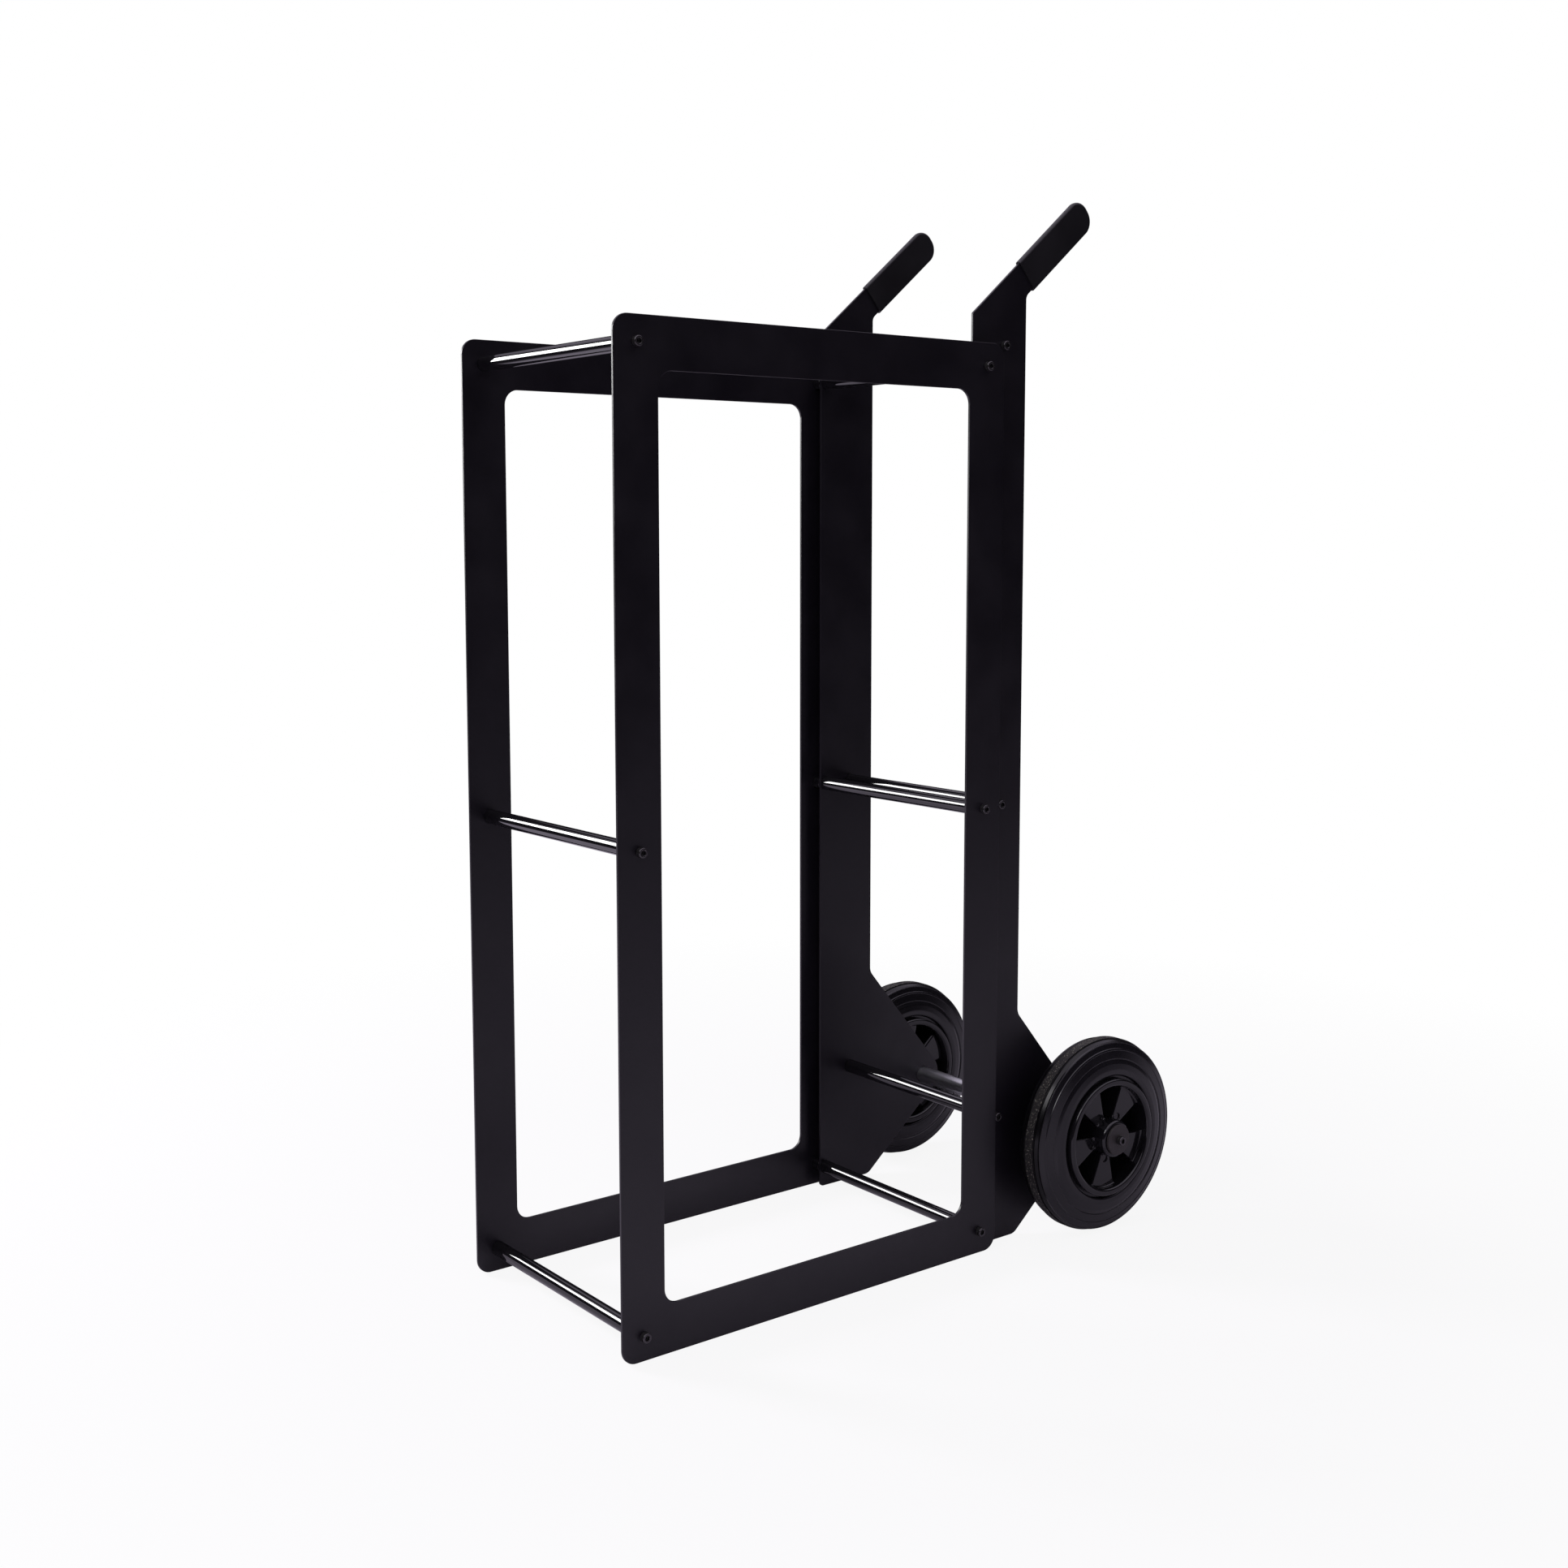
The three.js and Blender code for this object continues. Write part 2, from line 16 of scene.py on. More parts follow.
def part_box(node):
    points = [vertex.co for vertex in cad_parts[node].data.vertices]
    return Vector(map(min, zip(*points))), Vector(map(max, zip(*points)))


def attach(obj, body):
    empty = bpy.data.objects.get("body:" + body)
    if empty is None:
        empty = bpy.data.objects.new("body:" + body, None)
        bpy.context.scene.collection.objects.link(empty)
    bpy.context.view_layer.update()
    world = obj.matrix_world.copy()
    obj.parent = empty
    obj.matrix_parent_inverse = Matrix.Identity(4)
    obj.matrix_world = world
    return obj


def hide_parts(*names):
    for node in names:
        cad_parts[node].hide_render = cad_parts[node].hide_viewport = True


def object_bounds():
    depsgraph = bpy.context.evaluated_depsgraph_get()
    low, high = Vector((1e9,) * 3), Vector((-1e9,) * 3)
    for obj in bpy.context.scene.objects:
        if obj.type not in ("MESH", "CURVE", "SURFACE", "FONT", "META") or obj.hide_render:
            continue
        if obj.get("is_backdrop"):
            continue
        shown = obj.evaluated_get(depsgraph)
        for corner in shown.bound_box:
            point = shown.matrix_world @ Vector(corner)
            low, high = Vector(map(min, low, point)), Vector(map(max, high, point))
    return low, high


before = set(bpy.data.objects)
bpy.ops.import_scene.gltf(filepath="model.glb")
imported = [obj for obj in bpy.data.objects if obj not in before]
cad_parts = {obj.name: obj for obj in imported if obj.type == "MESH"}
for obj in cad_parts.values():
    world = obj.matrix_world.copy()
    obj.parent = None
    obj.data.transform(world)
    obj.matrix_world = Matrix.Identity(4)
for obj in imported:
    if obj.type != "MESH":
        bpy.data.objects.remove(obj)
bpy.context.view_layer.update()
mm = 0.001

# %% [markdown]
# ## The camera
# The photograph was taken from the front right, a little above the middle of the trolley. A camera
# could be set by eye, but a copy is easiest to judge when it lies exactly over its picture. So the view
# was recovered by fitting the straight rails and the round wheel, which gives a place, two angles, a
# slight roll and a focal length in pixels. The picture was cropped off-centre, hence the small shift.

# %% Place the camera
picture_width = 1932
focal_length_pixels = 2283.5
principal_point_x = 908.7
principal_point_y = 889.75
sensor_width_mm = 36
camera_place = Vector((1.57749, -1.31561, 0.79783))
camera_azimuth = math.radians(52.977)
camera_fall = math.radians(5.774)
camera_roll = math.radians(0.18)

forward = Vector((
    -math.sin(camera_azimuth) * math.cos(camera_fall),
    math.cos(camera_azimuth) * math.cos(camera_fall),
    -math.sin(camera_fall),
))
level_right = Vector((math.cos(camera_azimuth), math.sin(camera_azimuth), 0))
level_down = forward.cross(level_right)
right = level_right * math.cos(camera_roll) + level_down * math.sin(camera_roll)
down = forward.cross(right)

camera_data = bpy.data.cameras.new("camera")
camera_data.sensor_width = sensor_width_mm
camera_data.lens = focal_length_pixels / picture_width * sensor_width_mm
camera_data.shift_x = 0.5 - principal_point_x / picture_width
camera_data.shift_y = principal_point_y / picture_width - 0.5
camera = bpy.data.objects.new("camera", camera_data)
bpy.context.scene.collection.objects.link(camera)
turn = Matrix((right, -down, -forward)).transposed()
camera.matrix_world = Matrix.Translation(camera_place) @ turn.to_4x4()
bpy.context.scene.camera = camera
print("lens", round(camera_data.lens, 2))
print("shift", round(camera_data.shift_x, 4), round(camera_data.shift_y, 4))

# %% [markdown]
# ## Drawing helpers
# Almost every piece here starts as a line drawing: a sheet from its outline, a turned part from half
# its section. Curve handles could bend such a line, but a workshop drawing gives it as corners with a
# radius, and that is easier to read. So one helper turns a list of corners into points, with an arc at
# each corner that touches both its neighbours.

# %% Corners into points
def arc(centre, radius, start, sweep, steps):
    """Points along an arc, both ends among them."""
    angles = [start + sweep * step / steps for step in range(steps + 1)]
    return [centre + radius * Vector((math.cos(a), math.sin(a))) for a in angles]


def rounded(corners, closed=True, steps=10):
    """Points of a line through corners (x, y, radius). A radius of zero leaves a corner sharp."""
    points = []
    for i, (x, y, radius) in enumerate(corners):
        here = Vector((x, y))
        is_end = not closed and i in (0, len(corners) - 1)
        if radius == 0 or is_end:
            points.append(here)
            continue
        before = Vector(corners[i - 1][:2]) - here
        after = Vector(corners[(i + 1) % len(corners)][:2]) - here
        before.normalize()
        after.normalize()
        half_angle = before.angle(after) / 2
        start = here + before * radius / math.tan(half_angle)
        centre = here + (before + after).normalized() * radius / math.sin(half_angle)
        turns_left = before.x * after.y - before.y * after.x < 0
        sweep = (math.pi - 2 * half_angle) * (1 if turns_left else -1)
        first = math.atan2(start.y - centre.y, start.x - centre.x)
        points += arc(centre, radius, first, sweep, steps)
    return points


def circle(x, y, radius, steps=40):
    return arc(Vector((x, y)), radius, 0, 2 * math.pi, steps)[:-1]


# %% [markdown]
# ## Mesh helpers
# A finished piece is a closed mesh that faces outwards, with its place in its vertices and its object at
# the origin. Its modifiers could stay live, but a cut that waits for another modifier is hard to follow.
# So each modifier is turned into a plain mesh as soon as it has done its work.

# %% Meshes and objects
weld_distance = 0.002 * mm


def object_from(name, mesh):
    made = bpy.data.objects.new(name, mesh)
    bpy.context.scene.collection.objects.link(made)
    return made


def evaluated_mesh(made):
    """The mesh that an object shows once its modifiers have run."""
    bpy.context.view_layer.update()
    depsgraph = bpy.context.evaluated_depsgraph_get()
    return bpy.data.meshes.new_from_object(made.evaluated_get(depsgraph), depsgraph=depsgraph)


def tidied(mesh):
    """Welds doubled points and turns all faces outwards."""
    work = bmesh.new()
    work.from_mesh(mesh)
    bmesh.ops.remove_doubles(work, verts=work.verts, dist=weld_distance)
    bmesh.ops.dissolve_degenerate(work, edges=work.edges, dist=weld_distance / 2)
    bmesh.ops.recalc_face_normals(work, faces=work.faces)
    work.to_mesh(mesh)
    work.free()
    return mesh


def with_modifier_applied(made, modifier):
    mesh = evaluated_mesh(made)
    made.modifiers.remove(modifier)
    old = made.data
    made.data = mesh
    bpy.data.meshes.remove(old)
    return made


# %% [markdown]
# The flat faces of a sheet should stay flat to the eye where they meet a rounded edge. Flat shading would
# show every facet of the round, and plain smooth shading would make the sheet look swollen. So normals
# are weighted by face area, which is what a fine bevel on sheet metal needs. Cuts and joins use the
# Manifold solver, which is quick and keeps a closed body closed.

# %% Shading, cutting and dressing
smooth_limit = math.radians(38)


def softly_shaded(made):
    """Smooth shading with sharp creases kept, and flat faces that stay flat beside a fine bevel."""
    for polygon in made.data.polygons:
        polygon.use_smooth = True
    made.data.set_sharp_from_angle(angle=smooth_limit)
    weighted = made.modifiers.new("weighted", "WEIGHTED_NORMAL")
    weighted.mode = "FACE_AREA"
    weighted.keep_sharp = True
    return with_modifier_applied(made, weighted)


def combined(made, other, operation):
    """Cuts other out of made, or joins it on, and deletes other."""
    boolean = made.modifiers.new("combine", "BOOLEAN")
    boolean.operation = operation
    boolean.solver = "MANIFOLD"
    boolean.object = other
    with_modifier_applied(made, boolean)
    bpy.data.objects.remove(other)
    return made


def dressed(made, material, body, slot, *nodes):
    """Gives a finished piece its material and its body, and hides the nodes that it stands for. The slot is
    not used.
    """
    made.data.materials.clear()
    made.data.materials.append(material)
    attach(made, body)
    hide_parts(*nodes)
    print(made.name, len(made.data.polygons), "faces")
    return made


# %% [markdown]
# ## Two ways of making a body
# Sheet parts are drawn in side view as a flat curve: its fill gives the two faces, its extrusion the
# thickness and its bevel the broken edge. A box with cut holes and a bevel would end the same, but the
# curve treats the edge of every hole alike.

# %% Sheets
# In side view a drawing's x is the trolley's Y, its y is Z, and its thickness lies along X.
side_view = Matrix(((0, 0, 1, 0), (1, 0, 0, 0), (0, 1, 0, 0), (0, 0, 0, 1)))


def sheet(name, outlines, thickness, edge_radius, edge_steps=3):
    """A flat body from closed outlines, the first one outside and the rest holes, centred on X = 0."""
    curve = bpy.data.curves.new(name, "CURVE")
    curve.dimensions = "2D"
    curve.fill_mode = "BOTH"
    curve.extrude = thickness / 2 - edge_radius
    curve.bevel_depth = edge_radius
    curve.bevel_resolution = edge_steps
    curve.offset = -edge_radius
    for outline in outlines:
        spline = curve.splines.new("POLY")
        spline.points.add(len(outline) - 1)
        for point, place in zip(spline.points, outline):
            point.co = (place[0], place[1], 0, 1)
        spline.use_cyclic_u = True
    drawn = object_from(name + "_drawing", curve)
    mesh = evaluated_mesh(drawn)
    bpy.data.objects.remove(drawn)
    mesh.transform(side_view)
    mesh.name = name
    return object_from(name, tidied(mesh))


# %% [markdown]
# Turned and moulded parts are skinned over rings that all have the same number of points, so that every
# face between two rings is a clean four-sided one. The Screw modifier could turn a profile too, but a
# ring may also change its shape from one to the next, as a round mouth does on its way to a hexagon.

# %% Skins and turned bodies
def skinned(name, rings, closed_loop=False):
    """A closed body over rings of equally many points. A loop's last ring joins its first."""
    count = len(rings[0])
    places = [place for ring in rings for place in ring]
    faces = []
    last = len(rings) if closed_loop else len(rings) - 1
    for low in range(last):
        high = (low + 1) % len(rings)
        for i in range(count):
            j = (i + 1) % count
            faces.append((low * count + i, low * count + j, high * count + j, high * count + i))
    if not closed_loop:
        faces.append(tuple(range(count)))
        faces.append(tuple(range(len(places) - count, len(places))))
    mesh = bpy.data.meshes.new(name)
    mesh.from_pydata(places, [], faces)
    return object_from(name, tidied(mesh))


def turned(name, profile, steps, closed_loop=False):
    """A body turned round the X axis from points (radius, place along X)."""
    rings = []
    for radius, along in profile:
        spots = circle(0, 0, max(radius, 0), steps)
        rings.append([Vector((along, spot.x, spot.y)) for spot in spots])
    return skinned(name, rings, closed_loop)


def moved(made, place, half_turn=False):
    """Moves a body's points to a place, after half a turn about Z for the left side."""
    if half_turn:
        made.data.transform(Matrix.Rotation(math.pi, 4, "Z"))
    made.data.transform(Matrix.Translation(place))
    return made


# %% [markdown]
# ## Finishes
# The whole trolley is black, so the finishes differ by gloss and grain more than by colour: satin
# powder coat, lacquered rods, oiled screws, rubber that is smooth on its walls and worn on its band,
# glossy moulded plastic. Pictures of such surfaces could be wrapped on, but they would need a layout for
# each piece. Noise in Object coordinates needs none and is set to the size that the real grain has, so
# each finish is one Principled shader whose roughness and bump come from noise.

# %% Noise, ranges and blends
def noise(tree, coordinates, size, detail, roughness=0.5):
    """Noise whose features are about size metres across."""
    made = tree.nodes.new("ShaderNodeTexNoise")
    made.inputs["Scale"].default_value = 1 / size
    made.inputs["Detail"].default_value = detail
    made.inputs["Roughness"].default_value = roughness
    tree.links.new(coordinates, made.inputs["Vector"])
    return made.outputs["Fac"]


def spread(tree, value, from_low, from_high, to_low, to_high):
    made = tree.nodes.new("ShaderNodeMapRange")
    limits = {"From Min": from_low, "From Max": from_high, "To Min": to_low, "To Max": to_high}
    for name, limit in limits.items():
        made.inputs[name].default_value = limit
    tree.links.new(value, made.inputs["Value"])
    return made.outputs["Result"]


def blended(tree, share, first, second):
    """A colour between two, by a share from 0 to 1."""
    made = tree.nodes.new("ShaderNodeMix")
    made.data_type = "RGBA"
    tree.links.new(share, made.inputs[0])
    for socket, colour in ((made.inputs[6], first), (made.inputs[7], second)):
        if isinstance(colour, bpy.types.NodeSocket):
            tree.links.new(colour, socket)
        else:
            socket.default_value = (*colour, 1)
    return made.outputs[2]


# %% [markdown]
# Every finish has slow clouds, which vary its colour and its gloss a little every few centimetres, and
# fine grain in its bump. An even black would be simpler, but it looks like a hole in the picture, and
# the clouds and the grain are what the eye takes for a real coat.

# %% A finish with grain
cloud_detail = 3
cloud_range = (0.3, 0.7)
grain_detail = 2


def finish(name, colour, roughness, grain_size, grain_depth, metallic=0.0, specular=0.5,
           variation=0.15, roughness_spread=0.06, cloud_size=60 * mm):
    """A finish with fine grain in its bump and slow clouds in its colour and roughness."""
    material = bpy.data.materials.new(name)
    material.use_nodes = True
    tree = material.node_tree
    shader = tree.nodes["Principled BSDF"]
    shader.inputs["Metallic"].default_value = metallic
    shader.inputs["Specular IOR Level"].default_value = specular
    coordinates = tree.nodes.new("ShaderNodeTexCoord").outputs["Object"]
    clouds = noise(tree, coordinates, cloud_size, cloud_detail)
    pale = [c * (1 + variation) for c in colour]
    deep = [c * (1 - variation) for c in colour]
    tree.links.new(blended(tree, clouds, deep, pale), shader.inputs["Base Color"])
    grain = noise(tree, coordinates, grain_size, grain_detail)
    gloss = spread(tree, clouds, *cloud_range, roughness - roughness_spread, roughness + roughness_spread)
    tree.links.new(gloss, shader.inputs["Roughness"])
    bump = tree.nodes.new("ShaderNodeBump")
    bump.inputs["Strength"].default_value = 1
    bump.inputs["Distance"].default_value = grain_depth
    tree.links.new(grain, bump.inputs["Height"])
    tree.links.new(bump.outputs["Normal"], shader.inputs["Normal"])
    return material


# %% [markdown]
# The powder coat is near black with a touch of violet. Its orange peel is about a millimetre from crest
# to crest and only hundredths of a millimetre deep, which is enough to soften every reflection. The
# rods' lacquer has long, very shallow waves instead, so its streaks stay sharp but not ruler straight.
# The screws are metal under a thin oxide, and the inside of each socket is painted shade, a dull black.

# %% The trolley's finishes
powder_coat = finish("powder_coat", colour=(0.0058, 0.0044, 0.0082), roughness=0.38,
                     grain_size=0.9 * mm, grain_depth=0.02 * mm)
gloss_black = finish("gloss_black", colour=(0.005, 0.0045, 0.006), roughness=0.045,
                     grain_size=6 * mm, grain_depth=0.004 * mm, roughness_spread=0.01)
oiled_black = finish("oiled_black", colour=(0.085, 0.08, 0.086), roughness=0.24,
                     grain_size=0.3 * mm, grain_depth=0.006 * mm, metallic=0.8)
# Painted shade: a dull black for the faces inside the sockets.
socket_shade_black = finish("socket_shade_black", colour=(0.0035, 0.0032, 0.0036), roughness=0.45,
                      grain_size=0.3 * mm, grain_depth=0.006 * mm, specular=0.25)
dull_washer = finish("dull_washer", colour=(0.032, 0.027, 0.029), roughness=0.5,
                     grain_size=0.25 * mm, grain_depth=0.01 * mm)
zinc = finish("zinc", colour=(0.55, 0.56, 0.57), roughness=0.3,
              grain_size=0.4 * mm, grain_depth=0.006 * mm, metallic=1.0)
vinyl = finish("vinyl", colour=(0.0055, 0.0048, 0.0068), roughness=0.45,
               grain_size=0.5 * mm, grain_depth=0.02 * mm)
rim_plastic = finish("rim_plastic", colour=(0.009, 0.0082, 0.0105), roughness=0.1,
                     grain_size=0.35 * mm, grain_depth=0.0015 * mm, roughness_spread=0.02)
nylon = finish("nylon", colour=(0.62, 0.6, 0.54), roughness=0.45,
               grain_size=0.5 * mm, grain_depth=0.01 * mm, variation=0.03)
rubber = finish("rubber", colour=(0.0108, 0.0096, 0.013), roughness=0.2,
                grain_size=0.4 * mm, grain_depth=0.005 * mm, specular=0.45)
# Painted shade: a darker, duller rubber for the tyre's shoulders and edge.
shoulder_shade_rubber = finish("shoulder_shade_rubber", colour=(0.0035, 0.0032, 0.004), roughness=0.24,
                       grain_size=0.4 * mm, grain_depth=0.006 * mm, specular=0.3)
print("each finish has", len(rubber.node_tree.nodes), "nodes")

# %% [markdown]
# ## Side frames
# Each side frame is one sheet, laser cut with a large window and screw holes, then powder coated. It
# could be a box with the window cut out, but drawn as one outline with holes it is made as the real one
# is. The coat rounds the cut edges a little, and that thin round is what catches the light.

# %% The side frames
rail_width = 50 * mm
corner_radius = 16 * mm
screw_hole_radius = 3.3 * mm
coated_edge = 0.45 * mm
side_names = ("right", "left")
back_rods = ("back_bottom", "back_middle", "back_top")
front_rods = ("front_bottom", "front_middle", "front_top")
handle_rods = ("handle_bottom", "handle_middle", "handle_top")


def middle(node):
    low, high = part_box(node)
    return (low + high) / 2


def hole_at(node, radius=screw_hole_radius):
    spot = middle(node)
    return circle(spot.y, spot.z, radius)


for side in side_names:
    low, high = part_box("side_frame_" + side)
    outline = rounded([
        (low.y, low.z, corner_radius),
        (high.y, low.z, corner_radius),
        (high.y, high.z, corner_radius),
        (low.y, high.z, corner_radius),
    ])
    window = rounded([
        (low.y + rail_width, low.z + rail_width, corner_radius),
        (high.y - rail_width, low.z + rail_width, corner_radius),
        (high.y - rail_width, high.z - rail_width, corner_radius),
        (low.y + rail_width, high.z - rail_width, corner_radius),
    ])
    holes = [hole_at("rod_" + name) for name in front_rods + back_rods]
    panel = sheet("frame_sheet_" + side, [outline, window, *holes], high.x - low.x, coated_edge)
    moved(panel, Vector(((low.x + high.x) / 2, 0, 0)))
    softly_shaded(panel)
    dressed(panel, powder_coat, "chassis", "powder_coat", "side_frame_" + side)

# %% [markdown]
# ## Handle plates
# A handle plate is a second sheet that stands a little inside the back of each frame. At the top it
# slants back as a tongue for the grip, and at the foot it spreads into a bracket for the axle. Its
# points could be typed one by one, but its slanting lines all run along the tongue or square to it. So
# the eight corners are worked out from the tongue's angle, and they stay true to each other.

# %% The handle plates
sheet_thickness = 3 * mm
upright_width = 80 * mm
tongue_angle = math.radians(40)
tongue_width = 33.5 * mm
tongue_length = 210 * mm
tongue_end_radius = 15 * mm
tongue_fillet = 10 * mm
bracket_bend = 15 * mm
bracket_tip = 25.5 * mm
shoulder_rise = 32 * mm
shoulder_radius = 3 * mm
hidden_corner = 5 * mm
axle_bore_radius = 10.3 * mm
axle_bore_steps = 56
along = Vector((math.cos(tongue_angle), math.sin(tongue_angle)))
across = Vector((-math.sin(tongue_angle), math.cos(tongue_angle)))

plate_low, plate_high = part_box("handle_plate_right")
frame_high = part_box("side_frame_right")[1]
axle_middle = middle("axle")
upright_front = plate_low.y
upright_back = upright_front + upright_width
shoulder = Vector((upright_front, frame_high.z + shoulder_rise))
axle_spot = Vector((axle_middle.y, axle_middle.z))

apex = axle_spot + bracket_tip * (along - across)
bend = apex + across * (apex.x - upright_back) / math.sin(tongue_angle)
foot = apex + along * (plate_low.z - apex.y) / math.sin(tongue_angle)
tip_high = shoulder + along * tongue_length
tip_low = tip_high - across * tongue_width
crook = tip_low + along * (upright_back - tip_low.x) / math.cos(tongue_angle)
plate_outline = rounded([
    (upright_front, plate_low.z, hidden_corner),
    (*foot, bracket_bend),
    (*apex, bracket_tip),
    (*bend, bracket_bend),
    (*crook, tongue_fillet),
    (*tip_low, tongue_end_radius),
    (*tip_high, tongue_end_radius),
    (*shoulder, shoulder_radius),
])
print("plate reaches", round(max(p.y for p in plate_outline) / mm, 1), "mm, CAD", round(plate_high.z / mm, 1))

# %% [markdown]
# The plate has the screw holes of the frame beside it, a row more for the handle rods, and a wide one
# that the axle passes through. They could be bored afterwards, but as inner outlines of the same drawing
# they get the same coated edge as the outside.

# %% Holes and placing
for side in side_names:
    low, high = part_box("handle_plate_" + side)
    holes = [hole_at("rod_" + name) for name in back_rods + handle_rods]
    holes.append(circle(axle_spot.x, axle_spot.y, axle_bore_radius, axle_bore_steps))
    plate = sheet("handle_sheet_" + side, [plate_outline, *holes], sheet_thickness, coated_edge)
    moved(plate, Vector(((low.x + high.x) / 2, 0, 0)))
    softly_shaded(plate)
    dressed(plate, powder_coat, "chassis", "powder_coat", "handle_plate_" + side)

# %% [markdown]
# ## Grips
# The grips are soft vinyl sleeves, pulled over the tongues. A sleeve follows the tongue's outline two
# millimetres out all round, has a full round on its edges, and ends in a square-cut mouth. Solidify and
# a bevel could make it from the tongue, but the bevel would round the mouth as well. So a sleeve is drawn
# as a thick slab, cut off at the mouth and hollowed by a slot.

# %% The grips
grip_length = 123 * mm
grip_wall = 2 * mm
grip_edge = 2.8 * mm
mouth_edge = 0.5 * mm
slot_gap = 0.15 * mm


def tongue_outline(start, tip, width, end_radius, steps=14):
    """The tongue's outline in side view, from a place along it to its round tip."""
    corners = [(start, -width / 2, 0), (tip, -width / 2, end_radius), (tip, width / 2, end_radius)]
    points = rounded([*corners, (start, width / 2, 0)], steps=steps)
    origin = shoulder - across * tongue_width / 2
    return [origin + along * p.x + across * p.y for p in points]


for side in side_names:
    low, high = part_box("grip_" + side)
    tip = tongue_length + grip_wall
    mouth = tip - grip_length
    width = tongue_width + 2 * grip_wall
    thickness = high.x - low.x
    spare = 2 * grip_edge
    outer = tongue_outline(mouth - spare, tip, width, tongue_end_radius + grip_wall)
    sleeve = sheet("grip_sleeve_" + side, [outer], thickness, grip_edge, edge_steps=6)
    beyond = tongue_outline(mouth - 3 * spare, mouth, 2 * width, 0)
    waste = sheet("waste", [beyond], 2 * thickness, mouth_edge)
    combined(sleeve, waste, "DIFFERENCE")
    bore = tongue_outline(mouth - spare, tongue_length + slot_gap, tongue_width + 2 * slot_gap,
                          tongue_end_radius + slot_gap)
    slot = sheet("slot", [bore], sheet_thickness + 2 * slot_gap, slot_gap)
    combined(sleeve, slot, "DIFFERENCE")
    moved(sleeve, Vector(((low.x + high.x) / 2, 0, 0)))
    softly_shaded(sleeve)
    dressed(sleeve, vinyl, "chassis", "grip_vinyl", "grip_" + side)

# %% [markdown]
# ## Building node trees
# Rods and screws repeat. A loop in Python could copy them, but a Geometry Nodes tree keeps their sizes
# as named inputs that can be changed and seen at once. The object that carries the modifier is only a
# handful of loose points, one for each copy, and a few helpers keep the building of a tree readable.
# Nodes that handle several kinds of data repeat the names of their sockets, and then a socket is picked
# by its number.

# %% Tree helpers
def new_tree(name, inputs):
    """A geometry tree with its two geometry sockets and the named inputs (name, kind, value)."""
    tree = bpy.data.node_groups.new(name, "GeometryNodeTree")
    tree.interface.new_socket("Geometry", in_out="INPUT", socket_type="NodeSocketGeometry")
    for label, kind, value in inputs:
        socket = tree.interface.new_socket(label, in_out="INPUT", socket_type="NodeSocket" + kind)
        if value is not None:
            socket.default_value = value
    tree.interface.new_socket("Geometry", in_out="OUTPUT", socket_type="NodeSocketGeometry")
    return tree, tree.nodes.new("NodeGroupInput").outputs


def add_node(tree, kind, wires, **settings):
    """A node with its settings, its wired inputs and its plain values."""
    made = tree.nodes.new(kind)
    for name, value in settings.items():
        setattr(made, name, value)
    for name, source in wires.items():
        if isinstance(source, bpy.types.NodeSocket):
            tree.links.new(source, made.inputs[name])
        else:
            made.inputs[name].default_value = source
    return made.outputs


def maths(tree, operation, *values):
    """The result of one Math node on values or wires."""
    return add_node(tree, "ShaderNodeMath", dict(enumerate(values)), operation=operation)[0]


def end_tree(tree, geometry):
    tree.links.new(geometry, tree.nodes.new("NodeGroupOutput").inputs[0])
    print(tree.name, "has", len(tree.nodes), "nodes")


def grown(name, spots, tree, values, attributes=None):
    """The plain mesh that a tree grows on loose points, with the modifier gone."""
    points = bpy.data.meshes.new(name + "_points")
    points.from_pydata(spots, [], [])
    for label, vectors in (attributes or {}).items():
        layer = points.attributes.new(label, "FLOAT_VECTOR", "POINT")
        layer.data.foreach_set("vector", [v for vector in vectors for v in vector])
    carrier = object_from(name, points)
    modifier = carrier.modifiers.new(tree.name, "NODES")
    modifier.node_group = tree
    for item in tree.interface.items_tree:
        if item.name in values and item.in_out == "INPUT":
            modifier[item.identifier] = values[item.name]
    with_modifier_applied(carrier, modifier)
    tidied(carrier.data)
    return carrier


# %% [markdown]
# ## Rods
# The rods are 16 mm bar with a slight chamfer at each end, finished in a gloss much higher than the
# sheets, and they carry the sharpest reflections on the trolley. A cylinder node has no chamfer, so the
# tree sweeps a circle along a line of four points instead. The two end points have a smaller radius than
# the inner two, and that makes the chamfer.

# %% The rod tree
rod_chamfer = 0.6 * mm
rod_sides = 64
between_inner_points = 1.5

rod_tree, given = new_tree("rods_across", [
    ("Length", "Float", 280 * mm),
    ("Diameter", "Float", 16 * mm),
    ("Chamfer", "Float", rod_chamfer),
    ("Sides", "Int", rod_sides),
    ("Material", "Material", None),
])
half_length = maths(rod_tree, "DIVIDE", given["Length"], 2.0)
radius = maths(rod_tree, "DIVIDE", given["Diameter"], 2.0)
inner_end = maths(rod_tree, "SUBTRACT", half_length, given["Chamfer"])
small_radius = maths(rod_tree, "SUBTRACT", radius, given["Chamfer"])

# %% [markdown]
# The four points start in a row. Each one's index tells which side it is on and whether it is an end, and
# that gives its place and its radius. Four separate points could be set by hand, but a rule holds when
# the length or the chamfer changes.

# %% Place the four points
four_points = add_node(rod_tree, "GeometryNodeMeshLine", {"Count": 4, "Offset": (mm, 0, 0)})["Mesh"]
index = add_node(rod_tree, "GeometryNodeInputIndex", {})[0]
on_right = maths(rod_tree, "GREATER_THAN", index, between_inner_points)
sign = maths(rod_tree, "MULTIPLY_ADD", on_right, 2.0, -1.0)
from_middle = maths(rod_tree, "SUBTRACT", index, between_inner_points)
steps_out = maths(rod_tree, "ABSOLUTE", from_middle)
at_end = maths(rod_tree, "GREATER_THAN", steps_out, 1.0)
reach = add_node(rod_tree, "ShaderNodeMix", {0: at_end, 2: inner_end, 3: half_length})[0]
place = maths(rod_tree, "MULTIPLY", reach, sign)
spot = add_node(rod_tree, "ShaderNodeCombineXYZ", {"X": place})[0]
